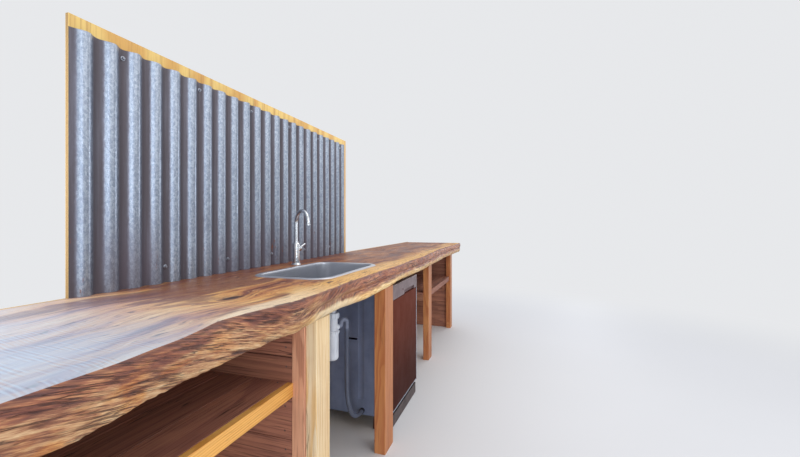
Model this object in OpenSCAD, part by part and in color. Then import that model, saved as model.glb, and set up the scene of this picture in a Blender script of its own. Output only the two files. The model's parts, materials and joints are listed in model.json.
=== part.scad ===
// Live-edge kitchen bench for a small hut: a thick slab on posts with an inset
// sink, open shelves, a corrugated splashback and a dishwasher underneath.
// The origin is at the middle of the floor outline, +X runs along the bench,
// the front faces -Y and the wall is at +Y. Sizes are in millimetres.

/* [Bench top] */
// Length of the bench along the wall
bench_l = 4000; // [3300:10:4900]
// Height of the top face above the floor
top_h = 885; // [740:5:1070]
// Thickness of the slab
slab_t = 95; // [60:1:120]
// Rounding of the slab's top front corner
arris_r = 9; // [4:1:14]
// How far the bark face swells past its two corners
bark_swell = 7; // [0:1:14]
// How far the sapwood lip swells past the groove above it
lip_swell = 15; // [0:1:20]
// Distance between the sections that the slab is lofted through
station_gap = 62; // [40:1:120]

/* [Posts] */
// Width of the pale post and the left end post
pale_post_w = 90; // [70:1:110]
// Depth of the pale post and the left end post
pale_post_t = 38; // [30:1:50]
// Distance from the wall to the front of the pale post
pale_post_front = 611; // [560:1:620]
// Distance of the pale post from the left end of the bench
pale_post_s = 943; // [800:1:1050]
// Width of the stud behind the pale post
stud_w = 45; // [35:1:60]
// Depth of the stud behind the pale post
stud_t = 47; // [35:1:60]
// Width of the post between the sink and the dishwasher
sink_post_w = 115; // [90:1:125]
// Depth of the post between the sink and the dishwasher
sink_post_t = 56; // [45:1:70]
// Distance from the wall to the front of the sink post
sink_post_front = 618; // [560:1:620]
// Distance of the sink post from the left end of the bench
sink_post_s = 1560; // [1500:1:1600]
// Width of the post that starts the right shelves
shelf_post_w = 105; // [80:1:120]
// Depth of the posts beside the right shelves
shelf_post_t = 46; // [35:1:60]
// Distance from the wall to the front of the posts beside the right shelves
shelf_post_front = 526; // [480:1:560]
// Distance of the shelf post from the left end of the bench
shelf_post_s = 2820; // [2600:1:2850]
// Width of the right end post
end_post_w = 90; // [70:1:110]
// Distance from the right end of the bench to the right end post's left side
end_post_inset = 210; // [180:1:260]
// Rounding of the posts' corners
post_round = 3; // [1:0.5:6]

/* [Partitions] */
// Thickness of the partition boards
board_t = 22; // [18:1:30]
// Height of one partition board with its gap
board_pitch = 133.4; // [100:0.1:160]
// Gap between neighbouring boards
board_gap = 2; // [1:0.5:4]
// Side of the square battens that carry the boards
batten = 45; // [35:1:50]
// Height of the ledger on the wall
ledger_h = 90; // [70:1:140]
// Thickness of the ledger on the wall
ledger_t = 45; // [35:1:60]

/* [Shelves] */
// Height of the left shelf's top face above the floor
left_shelf_h = 585; // [400:1:620]
// Height of the right shelf's top face above the floor
right_shelf_h = 540; // [400:1:620]
// Thickness of the shelf boards
shelf_t = 22; // [18:1:30]
// Number of boards in each shelf
shelf_boards = 4; // [2:1:6]
// Height of the rail along the front of each shelf
rail_h = 45; // [35:1:60]
// Thickness of the left shelf's front rail
rail_t = 22; // [18:1:35]
// Distance from the wall to the front of the left shelf's rail
rail_front = 531; // [500:1:550]
// Height of the cleats under the left shelf
cleat_h = 45; // [30:1:60]
// Thickness of the cleats under the left shelf
cleat_t = 22; // [18:1:35]

/* [Splashback] */
// Distance of the corrugated iron from the left end of the bench
sheet_s = 618; // [300:1:700]
// Width that the corrugated iron covers
sheet_w = 1739; // [1680:1:1900]
// Height of the corrugated iron
sheet_h = 778; // [600:1:900]
// Distance from crest to crest
pitch = 76.2; // [60:0.1:80]
// Depth of the corrugations
wave_h = 17; // [12:0.5:22]
// Thickness of the iron
iron_t = 0.6; // [0.5:0.05:1]
// Number of whole corrugations that one sheet covers
sheet_waves = 10; // [8:1:10]
// Number of corrugations that neighbouring sheets share
lap_waves = 1; // [1:1:2]
// Thickness of the plywood lining
lining_t = 12; // [9:1:18]
// Width of the lining that shows past the iron's right side and top
lining_margin = 40; // [10:1:80]

/* [Sink] */
// Length of the sink over its rim
sink_l = 585; // [480:1:620]
// Width of the sink over its rim
sink_w = 360; // [340:1:400]
// Distance of the sink's middle from the left end of the bench
sink_s = 1432; // [1400:1:1440]
// Distance of the sink's middle from the wall
sink_d = 352; // [350:1:370]
// Depth of the bowl below the bench top
bowl_h = 150; // [120:1:200]
// Width of the pressed rim
rim_w = 26; // [20:1:32]
// Corner radius of the bowl
bowl_r = 60; // [45:1:80]
// Thickness of the sink's steel
sink_t = 1; // [0.8:0.1:1.5]
// Clearance between the bowl and its hole in the slab
bowl_gap = 4; // [2:0.5:6]
// Distance of the waste to the right of the bowl's middle
waste_right = 66; // [0:1:120]
// Distance of the waste in front of the bowl's middle
waste_front = 18; // [0:1:50]

/* [Trap and pipes] */
// Diameter of the waste's tail
tail_d = 46; // [40:1:50]
// Diameter of the trap's cup
cup_d = 62; // [56:1:75]
// Height of the trap's lowest point above the floor
cup_z = 446; // [380:1:500]
// Height of the trap's outlet above the floor
outlet_z = 625; // [600:1:640]
// Outside diameter of the waste pipe
pipe_d = 43; // [38:1:50]
// Wall of the waste pipe
pipe_wall = 2.2; // [1.5:0.1:4]
// Outside diameter of the drain hose
hose_d = 22; // [18:1:25]

/* [Tap] */
// Distance of the tap from the left end of the bench
tap_s = 1560; // [1500:1:1700]
// Distance of the tap from the wall
tap_d = 130; // [110:1:140]
// Diameter of the tap's body
tap_body_d = 36; // [32:1:44]
// Height of the tap's body above the bench
tap_body_h = 115; // [100:1:140]
// Diameter of the spout's tube
spout_d = 17; // [14:0.5:20]
// Reach of the spout
spout_reach = 130; // [100:1:170]
// Height of the spout's crown above the bench
spout_h = 286; // [240:1:330]
// Angle of the spout from the bench's front, towards the left
spout_turn = 31; // [0:1:60]
// Clearance of a turning fit, on the radius
turn_gap = 0.05; // [0.02:0.01:0.1]

/* [Dishwasher] */
// Distance of the dishwasher from the left end of the bench
washer_s = 1750; // [1720:1:2100]
// Width of the dishwasher
washer_w = 500; // [448:1:600]
// Height of the dishwasher
washer_h = 770; // [740:1:780]
// Distance from the wall to the front of the door
washer_front = 581; // [560:1:600]
// Space between the wall's ledger and the dishwasher's back
ledger_gap = 10; // [5:1:25]
// Depth of the door's outer pan
pan_t = 16; // [12:1:20]
// Depth of the door's inner liner
liner_t = 20; // [18:1:24]
// Gap between the closed door and the cabinet
door_gap = 7; // [5:0.5:9]
// Height of the door's hinge above the floor
hinge_z = 98; // [92:1:110]
// Height of the control fascia
fascia_h = 81; // [70:1:100]
// Diameter of the hinge pins
pin_d = 8; // [6:0.5:10]
// Thickness of the cabinet's steel
steel_t = 1.2; // [0.8:0.1:2]
// Clearance between the plinth and the door's lower edge as it opens
sweep_gap = 6; // [5:1:12]
// Width of the upright grooves pressed into the side panels
groove_w = 36; // [20:1:50]
// Depth of the grooves pressed into the side panels
groove_h = 4; // [2:0.5:8]
// Depth of the field pressed into the door's liner
press_h = 8; // [3:0.5:10]
// Diameter of the sump in the tub's floor
sump_w = 170; // [120:1:220]
// Depth of the sump in the tub's floor
sump_h = 24; // [12:1:36]

/* [Hidden] */
$fn = 48;
eps = 0.01;

// Timber colours, as they look in the room
pale_pine = [0.84, 0.77, 0.65];
brown_pine = [0.70, 0.54, 0.42];
orange_pine = [0.75, 0.47, 0.31];
yellow_pine = [0.90, 0.67, 0.31];
dark_board = [0.49, 0.35, 0.31];
plywood = [0.87, 0.66, 0.36];

// Distances from the left end of the bench and the edge's distance from the wall there
TOP_EDGE = [[0, 640], [170, 644], [290, 646], [400, 636], [490, 618], [575, 600], [650, 618],
            [760, 640], [960, 643], [1170, 634], [1400, 632], [1690, 640], [1960, 632],
            [2240, 634], [2600, 612], [2960, 590], [3400, 598], [3700, 602], [4000, 607]];
LOW_EDGE = [[0, 626], [250, 632], [380, 614], [500, 608], [690, 616], [800, 626], [940, 612],
            [1080, 606], [1280, 628], [1560, 622], [1760, 600], [2200, 612], [2700, 598],
            [3200, 580], [3700, 588], [4000, 592]];
// Where the pale sapwood lip starts and is at its fullest along the bench
LIP = [[0, 0.1], [700, 0.15], [900, 0.7], [1100, 1], [1700, 1], [2000, 0.6], [2500, 0.35], [4000, 0.3]];

under_z = top_h - slab_t;
function smooth(t) = t * t * (3 - 2 * t);
function clamp(t) = min(max(t, 0), 1);
function along(list, s, i = 0) =
    i >= len(list) - 2 || s <= list[i + 1][0]
        ? let (a = list[i], b = list[i + 1])
            a[1] + (b[1] - a[1]) * smooth(clamp((s - a[0]) / (b[0] - a[0])))
        : along(list, s, i + 1);

// The front of the slab at a distance s from its left end: depth from the wall and height.
// t runs from 0 at the top corner to 1 at the bottom corner.
EDGE_STEPS = [0.1, 0.24, 0.38, 0.5, 0.6, 0.72, 0.84, 0.94];
function groove(t, s) = along(LIP, s) * lip_swell
    * (exp(-pow((t - 0.8) / 0.13, 2)) - 0.75 * exp(-pow((t - 0.5) / 0.1, 2)));
function ripple(s) = 1.6 * sin(s * 2.9) + 1.1 * sin(s * 6.7 + 40);
function face_depth(t, s) = (1 - t) * along(TOP_EDGE, s) + t * along(LOW_EDGE, s)
    + bark_swell * sin(180 * t) + groove(t, s) + ripple(s);
function front_points(s) = let (top = along(TOP_EDGE, s) + ripple(s)) concat(
    [[top - arris_r, top_h], [top - 0.25 * arris_r, top_h - 0.25 * arris_r]],
    [for (t = EDGE_STEPS) [face_depth(t, s), top_h - t * slab_t]],
    [[along(LOW_EDGE, s) + ripple(s) - 14, under_z]]);
stations = round(bench_l / station_gap);
function station_s(i) = bench_l * i / stations;
edge_max = max([for (i = [0:stations]) max([for (p = front_points(station_s(i))) p[0]])]);
// The wall's face, set so that the outline is centred on the origin
wall_y = (edge_max - lining_t) / 2;
function sx(s) = s - bench_l / 2;
function dy(d) = wall_y - d;

// A straight piece of timber. s, d and z each give from and to: along the bench,
// away from the wall and up. axis is the grain's direction, r the corners' rounding.
module stick(s, d, z, axis = "z", r = post_round) {
    size = [s[1] - s[0], d[1] - d[0], z[1] - z[0]];
    translate([sx(s[0]), dy(d[1]), z[0]])
        if (axis == "z") linear_extrude(size[2]) round_rect([size[0], size[1]], r);
        else if (axis == "x") rotate([90, 0, 90]) linear_extrude(size[0]) round_rect([size[1], size[2]], r);
        else translate([0, size[1], 0]) rotate([90, 0, 0]) linear_extrude(size[1])
            round_rect([size[0], size[2]], r);
}

// A rectangle from the origin with round corners
module round_rect(size, r) {
    translate([r, 0]) square([size[0] - 2 * r, size[1]]);
    translate([0, r]) square([size[0], size[1] - 2 * r]);
    for (x = [r, size[0] - r], y = [r, size[1] - r]) translate([x, y]) circle(r, $fn = 24);
}

// A rectangle about the origin with round corners
module centred_rect(size, r) {
    translate(-size / 2) round_rect(size, r);
}

// A plain box given like a stick, for sheet and panels
module panel(s, d, z) {
    translate([sx(s[0]), dy(d[1]), z[0]]) cube([s[1] - s[0], d[1] - d[0], z[1] - z[0]]);
}

// The slab, lofted through its sections from end to end
function loft_points() = [for (i = [0:stations]) let (s = station_s(i), f = front_points(s))
    each concat([[sx(s), dy(0), top_h]], [for (p = f) [sx(s), dy(p[0]), p[1]]], [[sx(s), dy(0), under_z]])];
module slab_loft() {
    n = len(front_points(0)) + 2;
    ring = function (i, j) i * n + j % n;
    faces = concat(
        [[for (j = [0:n - 1]) ring(0, n - 1 - j)]],
        [[for (j = [0:n - 1]) ring(stations, j)]],
        [for (i = [0:stations - 1], j = [0:n - 1]) each [
            [ring(i, j), ring(i + 1, j), ring(i + 1, j + 1)],
            [ring(i, j), ring(i + 1, j + 1), ring(i, j + 1)]]]);
    polyhedron(loft_points(), [for (f = faces) [for (k = [len(f) - 1:-1:0]) f[k]]]);
}
bowl_in = [sink_l - 2 * rim_w, sink_w - 2 * rim_w];
tap_hole_d = 35;
module bench_slab() {
    color([0.62, 0.42, 0.32]) difference() {
        slab_loft();
        translate([sx(sink_s), dy(sink_d), under_z - 1])
            linear_extrude(slab_t + 2) centred_rect(bowl_in + 2 * bowl_gap * [1, 1], bowl_r);
        translate([sx(tap_s), dy(tap_d), under_z - 1]) cylinder(d = tap_hole_d, h = slab_t + 2);
    }
}

// Posts that stand between the floor and the slab
stud_s = pale_post_s - 8;
module left_end_post() {
    color(pale_pine)
        stick([0, pale_post_w], [pale_post_front - pale_post_t, pale_post_front], [0, under_z]);
}
module pale_post() {
    color(pale_pine) stick([pale_post_s, pale_post_s + pale_post_w],
        [pale_post_front - pale_post_t, pale_post_front], [0, under_z]);
}
stud_d = [pale_post_front - pale_post_t - stud_t, pale_post_front - pale_post_t];
module divider_stud() {
    color(brown_pine) stick([stud_s, stud_s + stud_w], stud_d, [0, under_z]);
}
module sink_post() {
    color(orange_pine) stick([sink_post_s, sink_post_s + sink_post_w],
        [sink_post_front - sink_post_t, sink_post_front], [0, under_z]);
}
shelf_post_d = [shelf_post_front - shelf_post_t, shelf_post_front];
module shelf_post() {
    color(orange_pine) stick([shelf_post_s, shelf_post_s + shelf_post_w], shelf_post_d, [0, under_z]);
}
end_post_s = bench_l - end_post_inset;
module right_end_post() {
    color(orange_pine) stick([end_post_s, end_post_s + end_post_w], shelf_post_d, [0, under_z]);
}

// Boarded partitions: boards laid on edge on top of each other, nailed to upright battens
board_count = ceil(under_z / board_pitch);
module board_wall(s, d) {
    for (i = [0:board_count - 1])
        stick([s, s + board_t], d,
            [i * board_pitch, min((i + 1) * board_pitch - board_gap, under_z - 1)], "y", 1.5);
}
left_boards_s = stud_w;
right_boards_s = end_post_s + (end_post_w - board_t) / 2;
module left_end_boards() {
    color(dark_board) board_wall(left_boards_s, [0, stud_d[1]]);
}
module divider_boards() {
    color(dark_board) board_wall(stud_s, [0, stud_d[0]]);
}
module right_end_boards() {
    color(dark_board) board_wall(right_boards_s, [0, shelf_post_d[0]]);
}
module partition_battens() {
    color(brown_pine) {
        // the left end has its stud and batten outside the boards
        stick([0, stud_w], stud_d, [0, under_z]);
        stick([0, stud_w], [0, batten], [0, under_z]);
        for (d = [0, stud_d[0] - batten])
            stick([stud_s + board_t, stud_s + board_t + batten], [d, d + batten], [0, under_z]);
        for (d = [0, shelf_post_d[0] - batten])
            stick([right_boards_s + board_t, right_boards_s + board_t + batten], [d, d + batten],
                [0, under_z]);
    }
}

// The ledger carries the back of the slab, in lengths between the partitions
left_bay = [left_boards_s + board_t, stud_s];
right_bay = [shelf_post_s, right_boards_s];
module wall_ledger() {
    color(brown_pine)
        for (s = [left_bay, [stud_s + board_t + batten, right_boards_s],
                  [right_boards_s + board_t + batten, bench_l]])
            stick(s, [0, ledger_t], [under_z - ledger_h, under_z], "x");
}

// Left shelf: boards behind a rail, on cleats at both ends
left_shelf_z = left_shelf_h - shelf_t;
module shelf_plank(s, d, z) {
    width = (d[1] - d[0] + board_gap) / shelf_boards;
    for (i = [0:shelf_boards - 1])
        stick(s, [d[0] + i * width, d[0] + (i + 1) * width - board_gap], [z, z + shelf_t], "x", 1.5);
}
module left_shelf_rail() {
    color(yellow_pine)
        stick(left_bay, [rail_front - rail_t, rail_front], [left_shelf_h - rail_h, left_shelf_h], "x", 2);
}
module left_shelf_boards() {
    color(dark_board) shelf_plank(left_bay, [board_gap, rail_front - rail_t - 1], left_shelf_z);
}
module left_shelf_cleats() {
    z = [left_shelf_z - cleat_h, left_shelf_z];
    d = [0, rail_front - rail_t];
    color(brown_pine) {
        stick([left_bay[0], left_bay[0] + cleat_t], d, z, "y", 2);
        stick([left_bay[1] - cleat_t, left_bay[1]], d, z, "y", 2);
    }
}

// Right shelf: boards behind a rail between the two posts, on square bearers
right_shelf_z = right_shelf_h - shelf_t;
module right_shelf_rail() {
    color(dark_board)
        stick([shelf_post_s + shelf_post_w, end_post_s], [shelf_post_d[0], shelf_post_d[0] + rail_t + 10],
        [right_shelf_h - rail_h, right_shelf_h], "x", 2);
}
module right_shelf_boards() {
    color(dark_board) shelf_plank(right_bay, [board_gap, shelf_post_d[0] - 1], right_shelf_z);
}
module right_shelf_bearers() {
    z = [right_shelf_z - batten, right_shelf_z];
    color(brown_pine) {
        stick([right_bay[0], right_bay[0] + batten], [0, shelf_post_d[0]], z, "y", 2);
        stick([right_bay[1] - batten, right_bay[1]], [0, shelf_post_d[0]], z, "y", 2);
    }
}

// Plywood lining behind the bench, with the waste pipe's hole, and behind the iron
waste_s = sink_s + waste_right;
waste_d = sink_d + waste_front;
module lower_lining() {
    color(plywood) difference() {
        panel([0, bench_l], [-lining_t, 0], [0, top_h]);
        translate([sx(waste_s), dy(1), outlet_z]) rotate([-90, 0, 0])
            cylinder(d = pipe_d + 2, h = lining_t + 2);
    }
}
module upper_lining() {
    color(plywood) panel([sheet_s, sheet_s + sheet_w + lining_margin], [-lining_t, 0],
        [top_h, top_h + sheet_h + lining_margin]);
}

// Corrugated iron: a wave carried upwards. Neighbouring sheets share a corrugation at the lap.
WAVE_STEPS = 12;
function wave_d(x) = wave_h * (1 - cos(360 * x / pitch)) / 2;
module iron_sheet(x0, x1, lift) {
    steps = round((x1 - x0) / pitch * WAVE_STEPS);
    xs = [for (i = [0:steps]) x0 + (x1 - x0) * i / steps];
    front = [for (x = xs) [x, -(wave_d(x) + lift + iron_t)]];
    back = [for (i = [steps:-1:0]) [xs[i], -(wave_d(xs[i]) + lift)]];
    translate([sx(sheet_s), dy(0), top_h + 0.3]) linear_extrude(sheet_h) polygon(concat(front, back));
}
sheet_lift = 0.1;
// Sheet number i from the left. The middle one lies over both of its neighbours.
module sheet_number(i) {
    over = i % 2;
    start = i * sheet_waves;
    color([0.60, 0.64, 0.70])
        iron_sheet(start * pitch, min((start + sheet_waves + lap_waves) * pitch, sheet_w),
        (1 + over) * sheet_lift + over * iron_t);
}
module splash_sheet_left() {
    sheet_number(0);
}
module splash_sheet_middle() {
    sheet_number(1);
}
module splash_sheet_right() {
    sheet_number(2);
}

// Carries a profile round a rectangle with round corners. The profile's x runs outwards
// from the rectangle's outline, its y upwards. reach is how far in the profile goes.
module round_frame(size, r) {
    for (a = [0, 1], b = [0, 1]) mirror([a, 0, 0]) mirror([0, b, 0])
        translate([size[0] / 2 - r, size[1] / 2 - r, 0])
            rotate_extrude(angle = 90) translate([r, 0]) children();
    for (a = [0, 1]) mirror([0, a, 0])
        translate([-size[0] / 2 + r, size[1] / 2, 0]) rotate([90, 0, 90])
            linear_extrude(size[0] - 2 * r) children();
    for (a = [0, 1]) mirror([a, 0, 0])
        translate([size[0] / 2, size[1] / 2 - r, 0]) rotate([90, 0, 0])
            linear_extrude(size[1] - 2 * r) children();
}

// Stainless sink: a pressed rim, tapered walls with a round foot and a flat bottom
bowl_foot = 18;
bowl_taper = 4;
module sink_profile() {
    t = sink_t;
    foot = [for (a = [0:18:90]) [-bowl_taper - bowl_foot * (1 - cos(a)),
        -bowl_h + bowl_foot * (1 - sin(a))]];
    inner = concat([[rim_w - 2, t + 0.6], [rim_w - 8, 3 + t], [8, 3 + t], [3, 2 + t], [0.6, 0.4],
        [0, -6]], foot);
    outer = concat([[rim_w, 0], [rim_w - 2, 0], [rim_w - 8, 3], [8, 3], [3 + t, 1.4],
        [0.6 + t, -1], [t, -6]],
        [for (a = [0:18:90]) [-bowl_taper - bowl_foot + (bowl_foot + t) * cos(a),
            -bowl_h + bowl_foot - (bowl_foot + t) * sin(a)]]);
    polygon(concat(inner, [for (i = [len(outer) - 1:-1:0]) outer[i]]));
}
waste_hole_d = 60;
module sink_bowl() {
    floor_in = bowl_taper + bowl_foot;
    color([0.72, 0.74, 0.78]) translate([sx(sink_s), dy(sink_d), top_h]) {
        round_frame(bowl_in, bowl_r) sink_profile();
        difference() {
            translate([0, 0, -bowl_h - sink_t]) linear_extrude(sink_t)
                centred_rect(bowl_in - 2 * floor_in * [1, 1], bowl_r - floor_in);
            translate([waste_right, -waste_front, -bowl_h - 5]) cylinder(d = waste_hole_d, h = 10);
        }
    }
}

// Waste: a dished flange in the bowl, its tail and the nut that clamps it
bowl_z = top_h - bowl_h;
tail_z = 668;
module sink_waste() {
    color([0.78, 0.79, 0.81]) translate([sx(waste_s), dy(waste_d), 0]) difference() {
        union() {
            translate([0, 0, bowl_z]) cylinder(d1 = 82, d2 = 78, h = 2.5);
            translate([0, 0, tail_z]) cylinder(d = tail_d, h = bowl_z - tail_z + 1);
            translate([0, 0, bowl_z - sink_t - 14]) cylinder(d = 72, h = 14, $fn = 6);
        }
        translate([0, 0, tail_z - 1]) cylinder(d = tail_d - 6, h = bowl_z - tail_z + 5);
    }
}

// Ribs round a nut that is tightened by hand
module nut_ribs(r, z, h) {
    for (a = [0:30:330]) rotate([0, 0, a]) translate([r, 0, z]) cylinder(d = 4, h = h, $fn = 16);
}

// Bottle trap: union nut, upper body, coupling ring and a cup with a round foot
module bottle_trap() {
    wall = 3;
    ring_z = 579;
    foot = 16;
    color([0.93, 0.93, 0.92]) translate([sx(waste_s), dy(waste_d), 0]) {
        difference() {
            union() {
                translate([0, 0, tail_z - 22]) cylinder(d = cup_d + 2, h = 26, $fn = 40);
                translate([0, 0, ring_z]) cylinder(d = cup_d - 10, h = tail_z - 22 - ring_z);
                nut_ribs(cup_d / 2 + 1, tail_z - 18, 17);
                translate([0, 0, ring_z - 6]) cylinder(d = cup_d + 5, h = 14);
                nut_ribs(cup_d / 2 + 2, ring_z - 4, 10);
                translate([0, 0, cup_z + foot]) cylinder(d = cup_d, h = ring_z - 6 - cup_z - foot);
                rotate_extrude() {
                    translate([0, cup_z]) square([cup_d / 2 - foot, foot]);
                    translate([cup_d / 2 - foot, cup_z + foot]) intersection() {
                        circle(foot);
                        translate([0, -foot]) square(foot);
                    }
                }
                translate([0, 0, outlet_z]) rotate([-90, 0, 0])
                    cylinder(d = pipe_d + 12, h = cup_d / 2 + 16);
                rotate([0, 0, elbow_turn]) translate([0, 0, elbow_z]) rotate([0, 90, 0])
                    cylinder(d = hose_d + 4, h = elbow_in);
            }
            translate([0, 0, cup_z + foot]) cylinder(d = cup_d - 2 * wall, h = ring_z - cup_z - foot);
            translate([0, 0, ring_z - 1]) cylinder(d = cup_d - 10 - 2 * wall, h = tail_z - ring_z - 6);
            translate([0, 0, tail_z]) cylinder(d = tail_d + 0.2, h = 10);
            translate([0, 0, tail_z - 10]) cylinder(d = tail_d - 6, h = 20);
            translate([0, cup_d / 2 - 10, outlet_z]) rotate([-90, 0, 0]) cylinder(d = pipe_d + 0.2, h = 40);
            translate([0, 0, outlet_z]) rotate([-90, 0, 0]) cylinder(d = pipe_d - 2 * pipe_wall, h = 40);
        }
    }
}

// Waste pipe from the trap through the wall
module waste_pipe() {
    start = waste_d - cup_d / 2 + 6;
    color([0.90, 0.90, 0.88])
    translate([sx(waste_s), dy(start), outlet_z]) rotate([-90, 0, 0]) difference() {
        cylinder(d = pipe_d, h = start + lining_t);
        translate([0, 0, -1]) cylinder(d = pipe_d - 2 * pipe_wall, h = start + lining_t + 2);
    }
}

// Hooked elbow that hangs the drain hose from the trap
elbow_turn = -37;
elbow_z = 600;
elbow_r = 15;
elbow_in = cup_d / 2 + 2;
elbow_out = elbow_in + elbow_r + 2 * elbow_r;
elbow_drop = 14;
module hose_elbow() {
    color([0.62, 0.63, 0.64]) translate([sx(waste_s), dy(waste_d), elbow_z]) rotate([0, 0, elbow_turn]) {
        translate([elbow_in, 0, elbow_r]) rotate([-90, 0, 0]) rotate_extrude(angle = 90)
            translate([elbow_r, 0]) circle(d = hose_d);
        translate([elbow_in + 2 * elbow_r, 0, elbow_r]) rotate([90, 0, 0]) rotate_extrude(angle = 180)
            translate([elbow_r, 0]) circle(d = hose_d);
        translate([elbow_out, 0, -elbow_drop]) cylinder(d = hose_d, h = elbow_r + elbow_drop);
    }
}

// Drain hose: a tube swept from the elbow down to the dishwasher's side.
// hose_route gives each point's share of the way across and its height.
hose_top = [sx(waste_s) + elbow_out * cos(elbow_turn), dy(waste_d) + elbow_out * sin(elbow_turn),
    elbow_z - elbow_drop];
port_z = 92;
port_l = 12;
hose_end = [sx(washer_s) - port_l, hose_top[1], port_z];
hose_route = [[0, 586], [0, 545], [0, 500], [0, 455], [0, 410], [0, 365], [0.005, 320],
    [0.02, 276], [0.06, 234],
              [0.13, 196], [0.23, 161], [0.37, 131], [0.54, 109], [0.71, 97], [0.87, 92], [1, 92]];
function hose_point(i) = let (p = hose_route[i])
    [hose_top[0] + (hose_end[0] - hose_top[0]) * p[0],
        hose_top[1] + (hose_end[1] - hose_top[1]) * p[0], p[1]];
function unit(v) = v / norm(v);
hose_sides = 10;
module drain_hose() {
    last = len(hose_route) - 1;
    side = unit(cross([0, 0, 1], [hose_end[0] - hose_top[0], hose_end[1] - hose_top[1], 0]));
    axis = function (i) i == 0 ? [0, 0, -1]
        : i == last ? unit([hose_end[0] - hose_top[0], hose_end[1] - hose_top[1], 0])
        : unit(hose_point(i + 1) - hose_point(i - 1));
    points = [for (i = [0:last]) let (up = cross(axis(i), side))
        for (k = [0:hose_sides - 1]) let (a = 360 * k / hose_sides)
            hose_point(i) + hose_d / 2 * (side * cos(a) + up * sin(a))];
    at = function (i, k) i * hose_sides + k % hose_sides;
    color([0.62, 0.63, 0.64]) polyhedron(points, concat(
        [[for (k = [0:hose_sides - 1]) at(0, k)]],
        [[for (k = [0:hose_sides - 1]) at(last, hose_sides - 1 - k)]],
        [for (i = [0:last - 1], k = [0:hose_sides - 1]) each [
            [at(i, k), at(i + 1, k), at(i + 1, k + 1)],
            [at(i, k), at(i + 1, k + 1), at(i, k + 1)]]]));
}

// Tap: a flanged body with a threaded shank through the slab
shank_d = 32;
nut_z = under_z - 12;
hub_z = 84;
hub_d = 28;
journal_d = 20;
journal_l = 10;
socket_l = 30;
module at_tap(z = 0) {
    translate([sx(tap_s), dy(tap_d), z]) children();
}
module tap_body() {
    color([0.80, 0.81, 0.83]) at_tap(top_h) difference() {
        union() {
            cylinder(d = tap_body_d + 14, h = 4);
            translate([0, 0, 4]) cylinder(d1 = tap_body_d + 12, d2 = tap_body_d, h = 8);
            cylinder(d = tap_body_d, h = tap_body_h - 6);
            translate([0, 0, tap_body_h - 6]) cylinder(d1 = tap_body_d, d2 = tap_body_d - 10, h = 6);
            translate([0, 0, -slab_t - 22]) cylinder(d = shank_d, h = slab_t + 23);
            translate([0, 0, hub_z]) rotate([0, 90, 0]) cylinder(d = hub_d, h = tap_body_d / 2 + 6);
        }
        translate([0, 0, tap_body_h - socket_l]) cylinder(d = spout_d + 2 * turn_gap, h = socket_l + 1);
        translate([tap_body_d / 2 + 6 - journal_l, 0, hub_z]) rotate([0, 90, 0])
            cylinder(d = journal_d + 2 * turn_gap, h = journal_l + 1);
    }
}
module tap_backnut() {
    color([0.80, 0.81, 0.83]) at_tap(nut_z) difference() {
        cylinder(d = 52, h = 12, $fn = 6);
        translate([0, 0, -1]) cylinder(d = shank_d, h = 14);
    }
}
bend_r = spout_reach / 2;
spout_rise = spout_h - spout_d / 2 - bend_r;
spout_tip_drop = 8;
module tap_spout() {
    bore = spout_d - 3;
    color([0.80, 0.81, 0.83]) at_tap(top_h) rotate([0, 0, -90 - spout_turn]) difference() {
        union() {
            translate([0, 0, tap_body_h - socket_l + 0.5])
                cylinder(d = spout_d, h = spout_rise - tap_body_h + socket_l - 0.5);
            translate([0, 0, tap_body_h + 0.5]) cylinder(d = spout_d + 6, h = 7);
            translate([bend_r, 0, spout_rise]) rotate([90, 0, 0]) rotate_extrude(angle = 180)
                translate([bend_r, 0]) circle(d = spout_d);
            translate([spout_reach, 0, spout_rise - spout_tip_drop])
                cylinder(d = spout_d + 3, h = spout_tip_drop);
        }
        translate([spout_reach, 0, spout_rise - spout_tip_drop - 1])
            cylinder(d = bore, h = spout_tip_drop + 1.5);
    }
}
lever_l = 52;
lever_tilt = 20;
module tap_lever() {
    face_x = tap_body_d / 2 + 6;
    color([0.80, 0.81, 0.83]) at_tap(top_h + hub_z) {
        translate([face_x - journal_l + 0.5, 0, 0]) rotate([0, 90, 0])
            cylinder(d = journal_d, h = journal_l);
        translate([face_x + 0.5, 0, 0]) rotate([0, 90, 0]) cylinder(d = hub_d, h = 10);
        translate([face_x + 10.5, 0, 0]) rotate([0, 90, 0]) cylinder(d1 = hub_d, d2 = 14, h = 6);
        translate([face_x + 8, 0, 2]) rotate([0, 90 - lever_tilt, 0]) {
            cylinder(d = 9, h = lever_l);
            translate([0, 0, lever_l]) sphere(d = 9);
        }
    }
}

// Dishwasher cabinet: side panels, back and top round a stainless tub
washer_x = [washer_s, washer_s + washer_w];
washer_back = ledger_t + ledger_gap;
cab_front = washer_front - pan_t - liner_t - door_gap;
base_z = 70;
tub_z = 118;
tub_in = 28;
module at_port(out) {
    translate([sx(washer_s) + out, hose_end[1], port_z]) rotate([0, 90, 0]) children();
}
// A groove is an arc of this radius pressed inwards, given by its distance from the wall
groove_r = (pow(groove_w / 2, 2) + pow(groove_h, 2)) / (2 * groove_h);
side_z = [base_z, washer_h - steel_t];
groove_z = [side_z[0] + 80, side_z[1] - 80];
GROOVES = [washer_back + 128, cab_front - 128];
slot = [66, 10];
slot_d = cab_front - 184;
slot_z = 473;
module groove_rod(d, r, z) {
    translate([groove_h - groove_r, dy(d), z[0]]) cylinder(r = r, h = z[1] - z[0]);
}

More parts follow.
